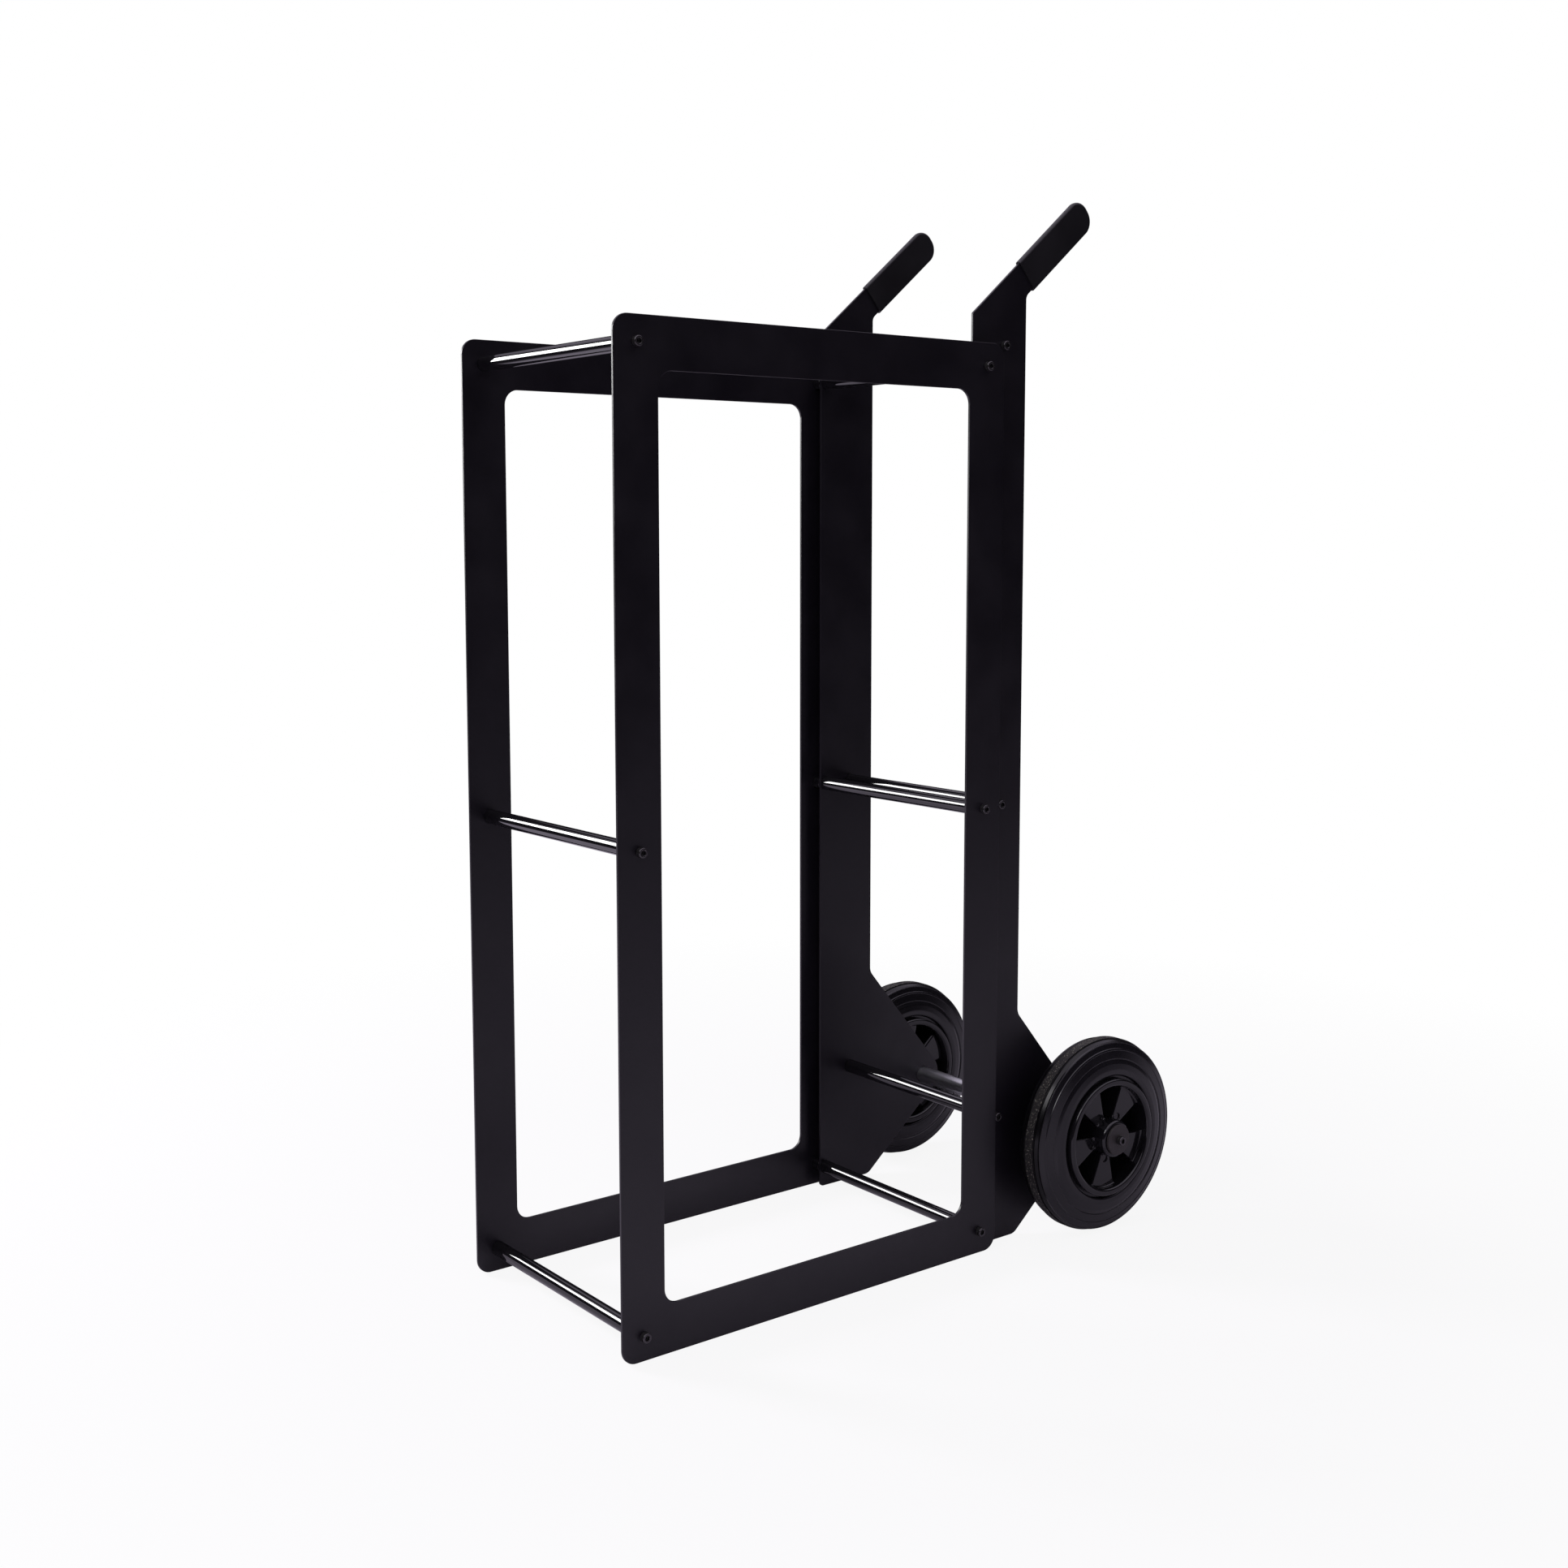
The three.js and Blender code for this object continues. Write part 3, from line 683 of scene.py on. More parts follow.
placed = add_node(rod_tree, "GeometryNodeSetPosition", {"Geometry": four_points, "Position": spot})[0]
line = add_node(rod_tree, "GeometryNodeMeshToCurve", {"Mesh": placed})[0]
thickness = add_node(rod_tree, "ShaderNodeMix", {0: at_end, 2: radius, 3: small_radius})[0]

# %% [markdown]
# A circle of radius 1 runs along the line, scaled by each point's radius, with both ends filled. One rod
# is set on every loose point. Instances are cheap while a scene is built, but an export drops them, so
# the tree ends in Realize Instances and Set Material.

# %% Sweep and copy the rod
unit_wires = {"Resolution": given["Sides"], "Radius": 1.0}
unit_circle = add_node(rod_tree, "GeometryNodeCurvePrimitiveCircle", unit_wires)[0]
rod_wires = {"Curve": line, "Profile Curve": unit_circle, "Scale": thickness, "Fill Caps": True}
rod_body = add_node(rod_tree, "GeometryNodeCurveToMesh", rod_wires)[0]
copy_wires = {"Points": given["Geometry"], "Instance": rod_body}
copies = add_node(rod_tree, "GeometryNodeInstanceOnPoints", copy_wires)[0]
real_rods = add_node(rod_tree, "GeometryNodeRealizeInstances", {"Geometry": copies})[0]
finished_rods = add_node(rod_tree, "GeometryNodeSetMaterial",
                         {"Geometry": real_rods, "Material": given["Material"]})[0]
end_tree(rod_tree, finished_rods)


# %% [markdown]
# The three rods of a set are equally long, so each set is one piece grown from three points. Length and
# thickness are read from a packed rod's box.

# %% Grow the rods
def rods(name, members):
    nodes = ["rod_" + member for member in members]
    low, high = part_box(nodes[0])
    values = {"Length": high.x - low.x, "Diameter": high.z - low.z, "Material": gloss_black}
    made = grown(name, [middle(node) for node in nodes], rod_tree, values)
    softly_shaded(made)
    return dressed(made, gloss_black, "chassis", "gloss_black", *nodes)


rods("rods_front", front_rods)
rods("rods_back", back_rods)
rods("rods_handle", handle_rods)

# %% [markdown]
# ## Screws
# All the screws are M6 socket heads in oiled black, with a longer thread in the back rods. A hexagon
# could be cut from a plain head, but a cut leaves ragged faces. Here a head is a stack of rings: knurled
# side, rounded rim, flat top, then a small chamfer where the round mouth of the socket turns into a
# hexagon. Every ring has the same number of points, so the change from round to six-sided needs no cut.

# %% Screw bodies
head_points = 72
cap_head_radius = 5 * mm
cap_head_height = 6 * mm
cap_rim_round = 0.9 * mm
cap_rim_steps = 4
knurl_depth = 0.09 * mm
knurl_stop = 0.3 * mm
under_head_edge = 0.25 * mm
socket_width = 5 * mm
socket_depth = 2.4 * mm
socket_chamfer = 0.3 * mm
cone_radius_share = 0.3
cone_start_share = 0.15
cone_tip_share = 0.2
half_flat_angle = math.pi / 6
thread_radius = 3 * mm
thread_pitch = 1 * mm
thread_depth = 0.35 * mm
root_share = 0.25
crest_start_share = 0.6
crest_end_share = 0.7
neck_gap = 0.2 * mm
print("screw heads in mm", 2 * cap_head_radius / mm, "wide, sockets", socket_width / mm)


def round_ring(radius, place):
    return [Vector((place, p.x, p.y)) for p in circle(0, 0, radius, head_points)]


def knurled_ring(radius, place):
    """A ring whose every second point stands back, as the fine knurl on a socket head does."""
    ring = []
    for i, p in enumerate(circle(0, 0, radius, head_points)):
        share = 1 - knurl_depth / radius * (i % 2)
        ring.append(Vector((place, p.x * share, p.y * share)))
    return ring


def hex_ring(width, place):
    """A six-sided ring, width across its flats."""
    ring = []
    for i in range(head_points):
        angle = 2 * math.pi * i / head_points
        from_flat = (angle + half_flat_angle) % (2 * half_flat_angle) - half_flat_angle
        reach = width / 2 / math.cos(from_flat)
        ring.append(Vector((place, reach * math.cos(angle), reach * math.sin(angle))))
    return ring


# %% [markdown]
# The thread and the socket are rings as well. The thread is a row of closed crests and not a true helix,
# because it is hidden in the rods, and closed rings keep its faces four-sided.

# %% A whole screw
def thread_rings(length):
    """Rings from a screw's tip up to its head, with crests one pitch apart."""
    rings = [round_ring(thread_radius - 2 * thread_depth, -length)]
    for count in range(int((length - neck_gap) / thread_pitch)):
        start = -length + count * thread_pitch
        rings.append(round_ring(thread_radius - thread_depth, start + root_share * thread_pitch))
        rings.append(round_ring(thread_radius, start + crest_start_share * thread_pitch))
        rings.append(round_ring(thread_radius, start + crest_end_share * thread_pitch))
    return rings


def socket_rings(width, face):
    """Rings from the round mouth of a hexagon socket down to the cone at its bottom."""
    mouth = width / 2 / math.cos(half_flat_angle) + socket_chamfer / 2
    floor = face - socket_depth
    return [
        round_ring(mouth, face),
        hex_ring(width, face - socket_chamfer),
        hex_ring(width, floor),
        round_ring(width * cone_radius_share, floor - width * cone_start_share),
        round_ring(0, floor - width * cone_tip_share),
    ]


def cap_screw(length):
    side = cap_head_height - cap_rim_round
    rim_middle = Vector((cap_head_radius - cap_rim_round, side))
    rings = thread_rings(length)
    rings += [round_ring(thread_radius, 0), round_ring(cap_head_radius - under_head_edge, 0)]
    rings += [knurled_ring(cap_head_radius, place) for place in (under_head_edge, side - knurl_stop)]
    rings += [round_ring(p.x, p.y) for p in arc(rim_middle, cap_rim_round, 0, math.pi / 2, cap_rim_steps)]
    rings += socket_rings(socket_width, cap_head_height)
    return skinned("cap_screw", rings)


# %% [markdown]
# The screw tree sets one body on each point, turns it to face outwards, and gives it a random turn
# about its own length, because nobody lines up the sockets. The seed is fixed, so the turns are the
# same at every run.

# %% The screw tree
screw_tree, given = new_tree("screws_on_points", [
    ("Screw", "Object", None),
    ("Seed", "Int", 3),
    ("Material", "Material", None),
])
body = add_node(screw_tree, "GeometryNodeObjectInfo", {"Object": given["Screw"]})["Geometry"]
facing = add_node(screw_tree, "GeometryNodeInputNamedAttribute", {"Name": "facing"},
                  data_type="FLOAT_VECTOR")["Attribute"]
roll_wires = {2: 0.0, 3: 2 * half_flat_angle, "Seed": given["Seed"]}
rolled = add_node(screw_tree, "FunctionNodeRandomValue", roll_wires, data_type="FLOAT")[1]
roll_turn = add_node(screw_tree, "ShaderNodeCombineXYZ", {"X": rolled})[0]
placed = add_node(screw_tree, "GeometryNodeInstanceOnPoints",
                  {"Points": given["Geometry"], "Instance": body, "Rotation": facing})[0]
turned_screws = add_node(screw_tree, "GeometryNodeRotateInstances",
                         {"Instances": placed, "Rotation": roll_turn, "Local Space": True})[0]
real_screws = add_node(screw_tree, "GeometryNodeRealizeInstances", {"Geometry": turned_screws})[0]
finished_screws = add_node(screw_tree, "GeometryNodeSetMaterial",
                           {"Geometry": real_screws, "Material": given["Material"]})[0]
end_tree(screw_tree, finished_screws)


# %% [markdown]
# A screw's box gives the place of its seat, the way it faces and the length of its thread. The inside of
# each socket gets a blacker finish, painted shade that makes its hexagon read from two metres away.

# %% Set the screws
socket_reach_share = 0.6


def seat_of(node):
    """Where the face under a screw's head lies, the way it faces and the length of its thread."""
    low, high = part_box(node)
    centre = (low + high) / 2
    is_right = centre.x > 0
    centre.x = high.x - cap_head_height if is_right else low.x + cap_head_height
    return centre, (0, 0, 0 if is_right else math.pi), high.x - low.x - cap_head_height


def in_a_socket(spot, seats):
    """Whether the middle of a face lies inside a head's hexagon, under its chamfer."""
    for seat, facing, _ in seats:
        above_seat = (spot.x - seat.x) * math.cos(facing[2])
        from_middle = math.hypot(spot.y - seat.y, spot.z - seat.z)
        is_inside = from_middle < socket_reach_share * socket_width
        if is_inside and 0 < above_seat < cap_head_height - socket_chamfer:
            return True
    return False


def screws(name, nodes):
    seats = [seat_of(node) for node in nodes]
    template = cap_screw(seats[0][2])
    values = {"Screw": template, "Material": oiled_black}
    facings = [facing for _, facing, _ in seats]
    made = grown(name, [spot for spot, _, _ in seats], screw_tree, values, {"facing": facings})
    bpy.data.objects.remove(template)
    softly_shaded(made)
    dressed(made, oiled_black, "chassis", "black_screw", *nodes)
    # The faces inside each socket take the painted shade finish.
    made.data.materials.append(socket_shade_black)
    for polygon in made.data.polygons:
        if in_a_socket(polygon.center, seats):
            polygon.material_index = 1
    return made


def both_sides(prefix, names):
    return [f"{prefix}_{name}_{side}" for name in names for side in side_names]


screws("screws_front", both_sides("screw", front_rods))
screws("screws_back", both_sides("screw", back_rods))
screws("screws_handle", both_sides("screw", handle_rods))
screws("screws_axle", both_sides("axle", ["screw"]))

# %% [markdown]
# ## Axle, spacers and washers
# Short black spacers keep the handle plates off the frames. The axle is bright zinc-plated bar, tapped
# at its ends. A zinc spacer keeps each wheel off its bracket and a thick dark washer holds it on. Plain
# cylinders with a bevel would look much the same, but a lathe turns such parts from a short profile, and
# so does the helper here.

# %% Axle fittings
turned_edge = 1 * mm
washer_edge = 0.5 * mm
spacer_edge = 0.4 * mm
turning_steps = 96


def span(node):
    """A turned node's radius and its ends along X."""
    low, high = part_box(node)
    return (high.z - low.z) / 2, low.x, high.x


def ring_profile(inner, outer, start, end, edge):
    """The section of a ring with a small round on its outer edges, as a closed loop."""
    corners = [(inner, start, 0), (outer, start, edge), (outer, end, edge), (inner, end, 0)]
    return [(p.x, p.y) for p in rounded(corners, steps=4)]


axle_radius, axle_left, axle_right = span("axle")
bar = rounded([
    (0, axle_left, 0),
    (axle_radius, axle_left, turned_edge),
    (axle_radius, axle_right, turned_edge),
    (0, axle_right, 0),
], closed=False, steps=4)
axle_bar = turned("axle_bar", [(p.x, p.y) for p in bar], turning_steps)
moved(axle_bar, Vector((0, axle_middle.y, axle_middle.z)))
dressed(softly_shaded(axle_bar), zinc, "chassis", "zinc_steel", "axle")

for node in both_sides("spacer", back_rods):
    radius, start, end = span(node)
    section = ring_profile(screw_hole_radius, radius, start, end, spacer_edge)
    sleeve = turned(node + "_ring", section, turning_steps, closed_loop=True)
    spot = middle(node)
    moved(sleeve, Vector((0, spot.y, spot.z)))
    dressed(softly_shaded(sleeve), gloss_black, "chassis", "gloss_black", node)

for side in side_names:
    radius, start, end = span("axle_spacer_" + side)
    section = ring_profile(axle_bore_radius, radius, start, end, spacer_edge)
    spacer = turned("spacer_" + side, section, turning_steps, closed_loop=True)
    moved(spacer, Vector((0, axle_middle.y, axle_middle.z)))
    dressed(softly_shaded(spacer), zinc, "chassis", "zinc_steel", "axle_spacer_" + side)

    radius, start, end = span("axle_washer_" + side)
    section = ring_profile(screw_hole_radius, radius, start, end, washer_edge)
    washer = turned("washer_" + side, section, turning_steps, closed_loop=True)
    moved(washer, Vector((0, axle_middle.y, axle_middle.z)))
    dressed(softly_shaded(washer), dull_washer, "chassis", "black_washer", "axle_washer_" + side)

# %% [markdown]
# ## Tyre
# The tyre is one ring of hard black rubber. From the outside in it has a rough, dusty band that meets
# the ground, a groove and a shoulder on each side of it, a crisp edge, a sidewall with moulded steps,
# and a round bead that lies round the rim's lip. A torus could be pushed into this shape, but a mould
# maker draws the section instead. One half of it is drawn here, from the seat outwards, and mirrored.
# Each corner is a radius from the axle, a half width and the round on it.

# %% The tyre's section
wheel_steps = 180
tyre_radius, tyre_left, tyre_right = span("tyre_right")
tyre_half_width = (tyre_right - tyre_left) / 2
print("tyre radius in mm", round(tyre_radius / mm, 1), "half width", round(tyre_half_width / mm, 1))

seat_radius = 63 * mm
seat_half = 16.7 * mm
seat_round = 0.3 * mm
mouth_radius = 70.2 * mm
mouth_round = 3 * mm
bead_end = (77.5 * mm, tyre_half_width, 12 * mm)
bead_slope = (85 * mm, 19.8 * mm, 9 * mm)
step_foot = (89.3 * mm, 17.9 * mm, 0.8 * mm)
step_top = (90.2 * mm, 18.7 * mm, 0.5 * mm)
wall_end = (98.9 * mm, 16.9 * mm, 0.4 * mm)
ring_inner = (99.4 * mm, 17.2 * mm, 0.4 * mm)
ring_outer = (101.1 * mm, 16.8 * mm, 0.4 * mm)
ring_foot = (101.5 * mm, 15.8 * mm, 0.4 * mm)

# %% [markdown]
# The edge between sidewall and shoulder is a small lip, given as steps from one nominal corner. Beyond
# it lie the shoulder, the groove and the band, which take their places from the tyre's own radius.

# %% The edge, the shoulder and the band
band_half = 5.4 * mm
band_round = 0.5 * mm
groove_width = 1.8 * mm
groove_depth = 1.8 * mm
groove_corner = 0.4 * mm
groove_end = band_half + groove_width
groove_end_corner = 0.2 * mm
groove_floor = tyre_radius - groove_depth
groove_lip = 0.3 * mm
shoulder_round = 0.8 * mm
shoulder_top = tyre_radius - 1.2 * mm
edge_radius = 108 * mm
edge_half = 13.2 * mm
edge_lip = 0.5 * mm
edge_steps = [(-1.1, 0.6, 0.3), (-0.6, 1, 0.4), (0.2, 0.4, 0.5), (0.1, -1.6, 0.6)]
edge_corners = [(edge_radius + out * mm, edge_half + wide * mm, edge * mm) for out, wide, edge in edge_steps]

# %% The whole section
half_section = [
    (seat_radius + seat_round, seat_half, seat_round),
    (mouth_radius, seat_half, 0),
    (mouth_radius, tyre_half_width, mouth_round),
    bead_end,
    bead_slope,
    step_foot,
    step_top,
    wall_end,
    ring_inner,
    ring_outer,
    ring_foot,
    *edge_corners,
    (shoulder_top, groove_end + shoulder_round, shoulder_round),
    (shoulder_top, groove_end, groove_lip),
    (groove_floor, groove_end, groove_end_corner),
    (groove_floor, band_half, groove_corner),
    (tyre_radius, band_half, band_round),
]
mirrored_half = [(radius, -place, edge) for radius, place, edge in reversed(half_section)]
section_points = rounded(half_section + mirrored_half, steps=4)
tyre_section = [(p.x, p.y) for p in section_points]
print("tyre section points", len(tyre_section))

# %% [markdown]
# The band that rolls on the ground is worn rough and has picked up pale dust. A picture of dirt could be
# laid on it, but noise at two sizes does as well: dust in patches, and grit that stands out as specks.
# The rubber under them is browner and rougher than the wall's. The shoulders beside the band hardly
# touch the ground, and their darker, duller rubber is painted shade.

# %% Worn tread rubber
dust_size = 7 * mm
dust_range = (0.42, 0.72)
dust_cover = 0.7
dust_colour = (0.034, 0.031, 0.03)
speck_size = 1.3 * mm
speck_range = (0.63, 0.72)
speck_cover = 0.9
speck_colour = (0.42, 0.38, 0.34)
band_foot_share = 0.3


def worn_rubber():
    material = finish("worn_rubber", colour=(0.011, 0.0101, 0.0108), roughness=0.7,
                      grain_size=0.9 * mm, grain_depth=0.25 * mm, specular=0.35)
    tree = material.node_tree
    shader = tree.nodes["Principled BSDF"]
    coordinates = tree.nodes.new("ShaderNodeTexCoord").outputs["Object"]
    base = shader.inputs["Base Color"].links[0].from_socket
    patches = noise(tree, coordinates, dust_size, detail=4, roughness=0.7)
    dust = spread(tree, patches, *dust_range, 0.0, dust_cover)
    dusty = blended(tree, dust, base, dust_colour)
    grit = noise(tree, coordinates, speck_size, detail=1)
    specks = spread(tree, grit, *speck_range, 0.0, speck_cover)
    tree.links.new(blended(tree, specks, dusty, speck_colour), shader.inputs["Base Color"])
    return material


tread_rubber = worn_rubber()
print(tread_rubber.name, "has", len(tread_rubber.node_tree.nodes), "nodes")


# %% [markdown]
# Both tyres are turned from the one section. Their bands and shoulders could be separate bodies, but it
# is enough to give those faces another rubber, found by how far a face lies from the axle and from the
# tyre's middle. The left tyre takes half a turn, as a wheel on the other side of the axle does.

# %% The tyres
def tyre(side):
    ring = turned("tyre_ring_" + side, tyre_section, wheel_steps, closed_loop=True)
    low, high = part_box("tyre_" + side)
    centre = (low + high) / 2
    softly_shaded(moved(ring, centre, half_turn=side == "left"))
    dressed(ring, rubber, "wheel_" + side, "tyre_rubber", "tyre_" + side)
    ring.data.materials.append(tread_rubber)
    ring.data.materials.append(shoulder_shade_rubber)
    band_low = groove_floor + band_foot_share * groove_depth
    for polygon in ring.data.polygons:
        from_axle = polygon.center - centre
        radius = math.hypot(from_axle.y, from_axle.z)
        if abs(from_axle.x) <= band_half and radius > band_low:
            polygon.material_index = 1
        # The shoulders and the edge take the darker rubber, which is painted shade.
        elif abs(from_axle.x) <= edge_half and radius > edge_radius - edge_lip:
            polygon.material_index = 2
    return ring


for side in side_names:
    tyre(side)

# %% [markdown]
# ## Rim
# The rim is one moulding: a channel for the tyre, a hub, and between them a web that folds to and fro,
# five raised panels and five deep pockets. Five wedges could be joined to a disc, but the real web is
# one sheet of even wall, and its fold is the shape that makes this wheel. So it follows a rule: at every
# radius the web's section is the same square wave with rounded corners, wrapped round the axle. Near
# the hub and the channel the sheet sweeps up into them, as moulded corners do.

# %% The web's rule
web_panels = 5
web_half = 16 * mm
web_wall = 3 * mm
web_edge = 1.3 * mm
cove = 2.6 * mm
web_phase = math.radians(48.5)
hub_radius = 21.5 * mm
barrel_radius = 59.4 * mm
fold_half_angle = math.pi / (2 * web_panels)
corner_count = 6
panel_shares = (0, 0.35, 0.7)
wall_shares = (0.33, 0.66)
pocket_shares = (0.5, 1)
sweep_shares = (-0.3, 0, 0.06, 0.2, 0.4, 0.7, 1)
plain_rings = 7


def sweep_up(radius):
    """How far the sheet has swept up towards the hub or the channel at this radius."""
    from_end = min(radius - hub_radius, barrel_radius - radius)
    if from_end >= cove:
        return 0
    short = cove - max(from_end, 0)
    return cove - math.sqrt(cove ** 2 - short ** 2)


def fold_half(radius):
    """Half a fold at a radius: pairs of front and back points (distance round, place along X)."""
    lift = sweep_up(radius)
    wall = radius * fold_half_angle + lift
    top = web_half + lift
    floor = web_wall - web_half + lift
    end = 2 * radius * fold_half_angle
    inner_top = web_half - web_wall
    pairs = [((share * (wall - web_edge), top), (share * (wall - web_wall), inner_top))
             for share in panel_shares]
    high_corner = Vector((wall - web_edge, top - web_edge))
    for point in arc(high_corner, web_edge, math.pi / 2, -math.pi / 2, corner_count):
        pairs.append((tuple(point), (wall - web_wall, inner_top)))
    low_corner = Vector((wall + web_edge, floor + web_edge))
    for share in wall_shares:
        height = top - web_edge + share * (low_corner.y - top + web_edge)
        pairs.append(((wall, height), (wall - web_wall, min(height, inner_top))))
    outer = arc(low_corner, web_edge + web_wall, math.pi, math.pi / 2, corner_count)
    for front, back in zip(arc(low_corner, web_edge, math.pi, math.pi / 2, corner_count), outer):
        pairs.append((tuple(front), tuple(back)))
    for share in pocket_shares:
        round_way = low_corner.x + share * (end - low_corner.x)
        pairs.append(((round_way, floor), (round_way, -web_half + lift)))
    return pairs


# %% [markdown]
# Half a fold is enough. Its mirror image makes it whole, and five of them set round the axle close the
# ring. The rings stand close together where the sheet sweeps up and far apart on the plain stretch, so
# that the faces go where the curve is.

# %% Rings of the web
def web_rings(radius):
    """The web's front ring and back ring at a radius, both once round the axle."""
    half = fold_half(radius)
    both = [((-f[0], f[1]), (-b[0], b[1])) for f, b in reversed(half[1:-1])] + half
    front_ring = []
    back_ring = []
    for count in range(web_panels):
        middle_angle = web_phase + 2 * math.pi * count / web_panels
        for front, back in both:
            for ring, (round_way, place) in ((front_ring, front), (back_ring, back)):
                angle = middle_angle + round_way / radius
                ring.append(Vector((place, radius * math.cos(angle), radius * math.sin(angle))))
    return front_ring, back_ring


inner_sweep = [hub_radius + cove * share for share in sweep_shares]
outer_sweep = [barrel_radius - cove * share for share in reversed(sweep_shares)]
plain_width = barrel_radius - hub_radius - 2 * cove
between = [hub_radius + cove + plain_width * n / (plain_rings + 1) for n in range(1, plain_rings + 1)]
web_radii = inner_sweep + between + outer_sweep
print("web radii in mm", [round(r / mm, 1) for r in web_radii])

# %% [markdown]
# The channel that holds the tyre and the hub that holds the bush are round all the way, so both are
# turned from a section. The wide round on the channel's lip could be left to a bevel, but here it is
# one radius in the section, as on a drawing. A bright arc of the front light lies along it.

# %% The channel and the hub
flange_radius = 67.5 * mm
flange_round = 2.2 * mm
lip_round = 3 * mm
channel_seat_half = 17 * mm
channel_floor_round = 0.5 * mm
channel_corner = 0.3 * mm
hub_round = 3.5 * mm
hub_steps = 120
bush_radius = 13.3 * mm
bush_edge = 0.3 * mm
rim_low, rim_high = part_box("rim_right")
hub_half = (rim_high.x - rim_low.x) / 2
rim_half = 25.4 * mm
print("half widths in mm, hub", round(hub_half / mm, 1), "channel", round(rim_half / mm, 1))


def channel():
    half = [
        (seat_radius, channel_seat_half, channel_floor_round),
        (flange_radius, channel_seat_half, channel_corner),
        (flange_radius, rim_half, flange_round),
        (barrel_radius, rim_half, lip_round),
    ]
    other = [(radius, -place, edge) for radius, place, edge in reversed(half)]
    section = [(p.x, p.y) for p in rounded(half + other, steps=5)]
    return turned("channel", section, wheel_steps, closed_loop=True)


def hub():
    corners = [
        (bush_radius, -hub_half, bush_edge),
        (hub_radius, -hub_half, hub_round),
        (hub_radius, hub_half, hub_round),
        (bush_radius, hub_half, bush_edge),
    ]
    return turned("hub", [(p.x, p.y) for p in rounded(corners, steps=6)], hub_steps, closed_loop=True)


# %% [markdown]
# Each panel has a shallow round dimple at its inner end, where a pin stood in the mould. A sphere would
# dent it without an edge. The cutter is a pin with a flared end instead, so that the dimple has a flat
# floor and a rounded rim.

# %% The dimples
dimple_radius = 4.4 * mm
dimple_round = 1.2 * mm
dimple_depth = 1.6 * mm
dimple_from_axle = 25.5 * mm
dimple_steps = 40
flare_steps = 4
print("dimples on each rim", web_panels, "at", round(dimple_from_axle / mm, 1), "mm from the axle")


def dimple_cutter(angle):
    """A pin with a flared end, so that the dimple it cuts has a rounded rim."""
    wide = dimple_radius + dimple_round
    floor = web_half - dimple_depth
    above = web_half + 2 * web_wall
    flare_middle = Vector((wide, web_half - dimple_round))
    profile = [(0, floor), (dimple_radius, floor)]
    profile += [(p.x, p.y) for p in arc(flare_middle, dimple_round, math.pi, -math.pi / 2, flare_steps)]
    profile += [(wide, above), (0, above)]
    spot = Vector((0, dimple_from_axle * math.cos(angle), dimple_from_axle * math.sin(angle)))
    return moved(turned("dimple", profile, dimple_steps), spot)


# %% [markdown]
# The real rim comes out of its mould in one piece, so the web, the channel and the hub are joined into
# one closed body. Three bodies that only cross would look much the same, but they would keep their
# hidden faces inside each other.

# %% The rim
def rim(side):
    pairs = [web_rings(radius) for radius in web_radii]
    rings = [front for front, _ in pairs] + [back for _, back in reversed(pairs)]
    made = skinned("rim_moulding_" + side, rings, closed_loop=True)
    for count in range(web_panels):
        combined(made, dimple_cutter(web_phase + 2 * math.pi * count / web_panels), "DIFFERENCE")
    combined(made, channel(), "UNION")
    combined(made, hub(), "UNION")
    low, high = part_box("rim_" + side)
    moved(made, (low + high) / 2, half_turn=side == "left")
    softly_shaded(made)
    return dressed(made, rim_plastic, "wheel_" + side, "rim_plastic", "rim_" + side)


for side in side_names:
    rim(side)

# %% [markdown]
# ## Bushes
# A pale nylon bush lines each hub and turns on the axle. The spacer and the washer cover its ends, so a
# plain turned ring is enough.

# %% The bushes
for side in side_names:
    radius, start, end = span("wheel_bush_" + side)
    section = ring_profile(axle_bore_radius, radius, start, end, spacer_edge)
    bush = turned("bush_" + side, section, turning_steps, closed_loop=True)
    moved(bush, Vector((0, axle_middle.y, axle_middle.z)))
    dressed(softly_shaded(bush), nylon, "wheel_" + side, "bush_nylon", "wheel_bush_" + side)

# %% [markdown]
# ## Floor
# The photograph has a pure white ground. A curved backdrop would do, as in a studio, but one large
# square is enough when the world behind it is the same white. It lies a hair under the trolley's feet,
# because two faces in one plane would flicker.

# %% The floor
floor_size = 14
floor_gap = 0.2 * mm

floor_mesh = bpy.data.meshes.new("floor")
reach = floor_size / 2
corners = [(-reach, -reach), (reach, -reach), (reach, reach), (-reach, reach)]
floor_mesh.from_pydata([(x, y, -floor_gap) for x, y in corners], [], [(0, 1, 2, 3)])
floor = object_from("floor", floor_mesh)
print("floor", floor_size, "m wide")

# %% [markdown]
# A white sheet alone would come out grey wherever the light is weak. So the paint is a pale matt one that
# also glows, but only to the camera: it comes out white and still keeps a soft shadow, and away from the
# trolley it meets the white of the world. The black sheets mirror its matt side, which has a touch of
# violet. Far out that matt side darkens, which is painted shade for the unlit room round a studio.

# %% The floor's paint
least_glow = 0.9
white_from = 0.6
white_at = 1.6
# Painted shade: far out the floor's matt colour darkens, as it would in an unlit room.
shade_from = 2.2
shade_at = 4.0
near_colour = (0.88, 0.79, 0.97)
far_shade_colour = (0.1, 0.09, 0.11)

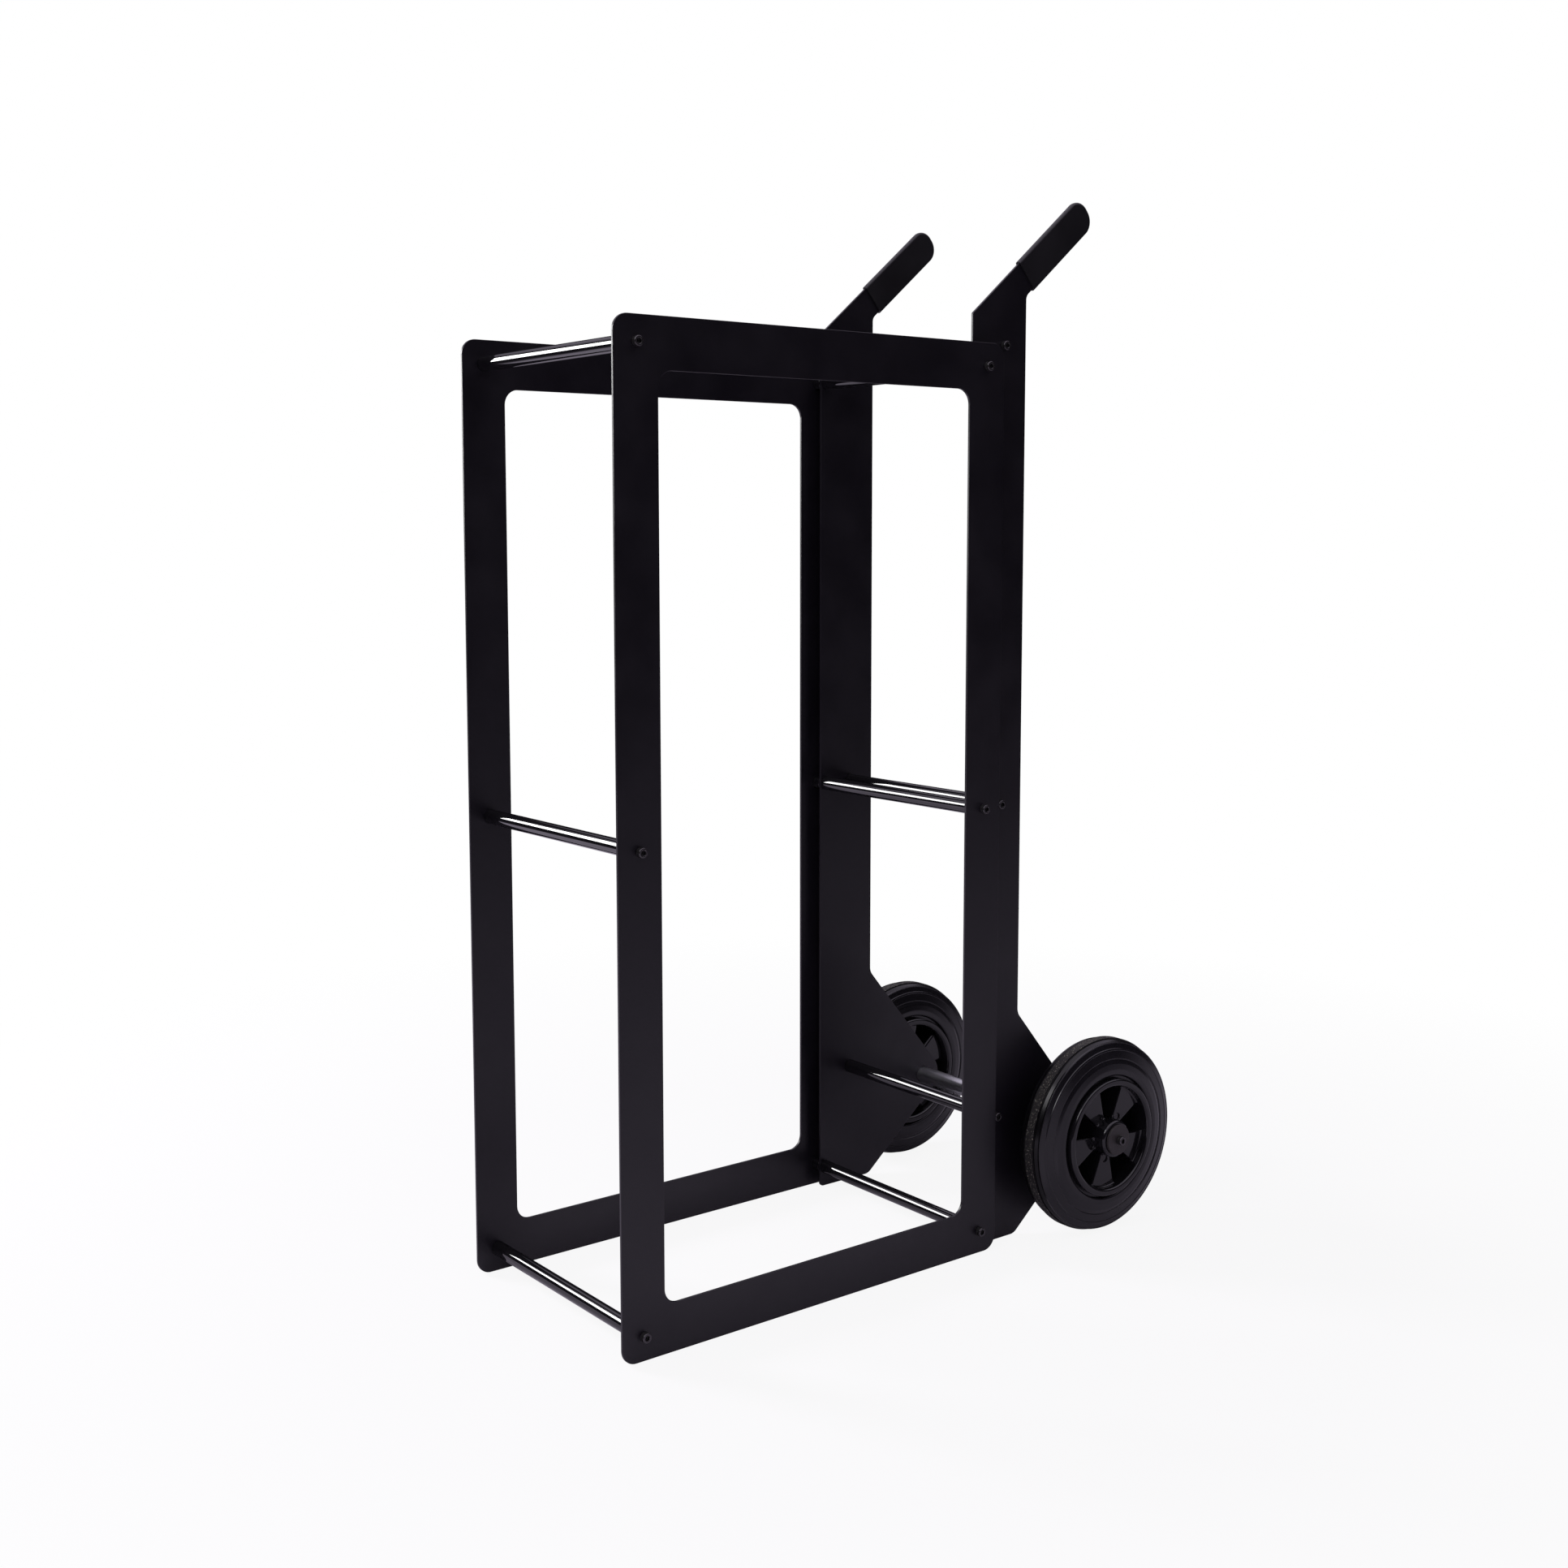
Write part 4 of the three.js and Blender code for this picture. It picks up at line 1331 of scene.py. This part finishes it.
floor_paint = bpy.data.materials.new("floor_paint")
floor_paint.use_nodes = True
tree = floor_paint.node_tree
tree.nodes.clear()
matt = tree.nodes.new("ShaderNodeBsdfDiffuse")
glow = tree.nodes.new("ShaderNodeEmission")
glow.inputs["Color"].default_value = (1, 1, 1, 1)
glow.inputs["Strength"].default_value = 1
where = tree.nodes.new("ShaderNodeTexCoord")
distance = tree.nodes.new("ShaderNodeVectorMath")
distance.operation = "LENGTH"
tree.links.new(where.outputs["Object"], distance.inputs[0])
fade = spread(tree, distance.outputs["Value"], white_from, white_at, least_glow, 1.0)
# Painted shade for the unlit room far out.
far = spread(tree, distance.outputs["Value"], shade_from, shade_at, 0.0, 1.0)
tree.links.new(blended(tree, far, near_colour, far_shade_colour), matt.inputs["Color"])
rays = tree.nodes.new("ShaderNodeLightPath")
seen = tree.nodes.new("ShaderNodeMath")
seen.operation = "MULTIPLY"
tree.links.new(fade, seen.inputs[0])
tree.links.new(rays.outputs["Is Camera Ray"], seen.inputs[1])
mix = tree.nodes.new("ShaderNodeMixShader")
tree.links.new(seen.outputs[0], mix.inputs[0])
tree.links.new(matt.outputs[0], mix.inputs[1])
tree.links.new(glow.outputs[0], mix.inputs[2])
tree.links.new(mix.outputs[0], tree.nodes.new("ShaderNodeOutputMaterial").inputs[0])
floor_mesh.materials.append(floor_paint)
floor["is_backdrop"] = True
print("floor paint has", len(tree.nodes), "nodes, and is white from", white_at, "m out")

# %% [markdown]
# ## Light
# The lights could be set by taste, but the gloss in the photograph tells where they stood. Each
# streak's height on its rod gives a direction, and the directions meet at a soft box on the left, about
# two and a half metres out. The arcs on the tyre's edge, the rim's lip and the hub lie at ten o'clock,
# which puts a wider, dimmer box high in front. A large weak one overhead only opens the shadows.

# %% Soft boxes
def soft_box(name, place, aim, width, height, radiance):
    """A rectangular lamp. Its power follows from how bright its face should look."""
    data = bpy.data.lights.new(name, "AREA")
    data.shape = "RECTANGLE"
    data.size = width
    data.size_y = height
    data.energy = radiance * math.pi * width * height
    lamp = object_from(name, data)
    direction = Vector(aim) - Vector(place)
    lamp.matrix_world = Matrix.Translation(place) @ direction.to_track_quat("-Z", "Y").to_matrix().to_4x4()
    print(name, "watts", round(data.energy, 1))
    return lamp


soft_box("main_light", place=(-2.1, -1.5, 1.5), aim=(0, -0.1, 0.6), width=0.8, height=0.85, radiance=24)
soft_box("top_light", place=(0.3, -0.3, 3.2), aim=(0, 0, 0.5), width=2.2, height=2.2, radiance=0.4)
soft_box("front_light", place=(0.5, -2.55, 2.75), aim=(0, 0, 0.5), width=1.3, height=1.3, radiance=5)

# %% [markdown]
# ## World
# Camera rays see plain white. A picture of a studio could be wrapped round the scene, but a few plain
# levels are easier to match. Matt surfaces get an even fill. Gloss sees a bright ceiling with a touch
# of violet, and below it dark walls, which is what makes gloss read as gloss. The world is so plain
# that rays find it by themselves, so it isn't sampled as one more lamp, and that saves time.

# %% The world
fill_strength = 0.25
wall_grey = 0.02
ceiling_start = 0.42
ceiling_full = 0.62
violet = (1, 0.91, 1.1)
world = bpy.data.worlds.new("studio")
bpy.context.scene.world = world
world.use_nodes = True
tree = world.node_tree
tree.nodes.clear()
rays = tree.nodes.new("ShaderNodeLightPath")
direction = tree.nodes.new("ShaderNodeTexCoord").outputs["Generated"]
parts = tree.nodes.new("ShaderNodeSeparateXYZ")
tree.links.new(direction, parts.inputs[0])
height = parts.outputs["Z"]
ceiling = spread(tree, height, ceiling_start, ceiling_full, wall_grey, 1.0)


def background(strength, tint=(1, 1, 1)):
    made = tree.nodes.new("ShaderNodeBackground")
    made.inputs["Color"].default_value = (*tint, 1)
    if isinstance(strength, bpy.types.NodeSocket):
        tree.links.new(strength, made.inputs["Strength"])
    else:
        made.inputs["Strength"].default_value = strength
    return made.outputs[0]


def choose(switch, otherwise, chosen):
    made = tree.nodes.new("ShaderNodeMixShader")
    tree.links.new(switch, made.inputs[0])
    tree.links.new(otherwise, made.inputs[1])
    tree.links.new(chosen, made.inputs[2])
    return made.outputs[0]


seen_by_gloss = choose(rays.outputs["Is Glossy Ray"], background(fill_strength), background(ceiling, violet))
white = background(1.0)
seen_through = choose(rays.outputs["Is Transmission Ray"], seen_by_gloss, white)
seen = choose(rays.outputs["Is Camera Ray"], seen_through, white)
world.cycles.sampling_method = "NONE"
tree.links.new(seen, tree.nodes.new("ShaderNodeOutputWorld").inputs[0])
print("world has", len(tree.nodes), "nodes")

# %% [markdown]
# ## Finish
# The view transform is Standard, so that black stays black and white stays white. AgX is gentler with
# strong light, but it would grey them both. Then the dressed trolley's box is measured.

# %% Measure and finish
bpy.context.scene.view_settings.view_transform = "Standard"
low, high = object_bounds()
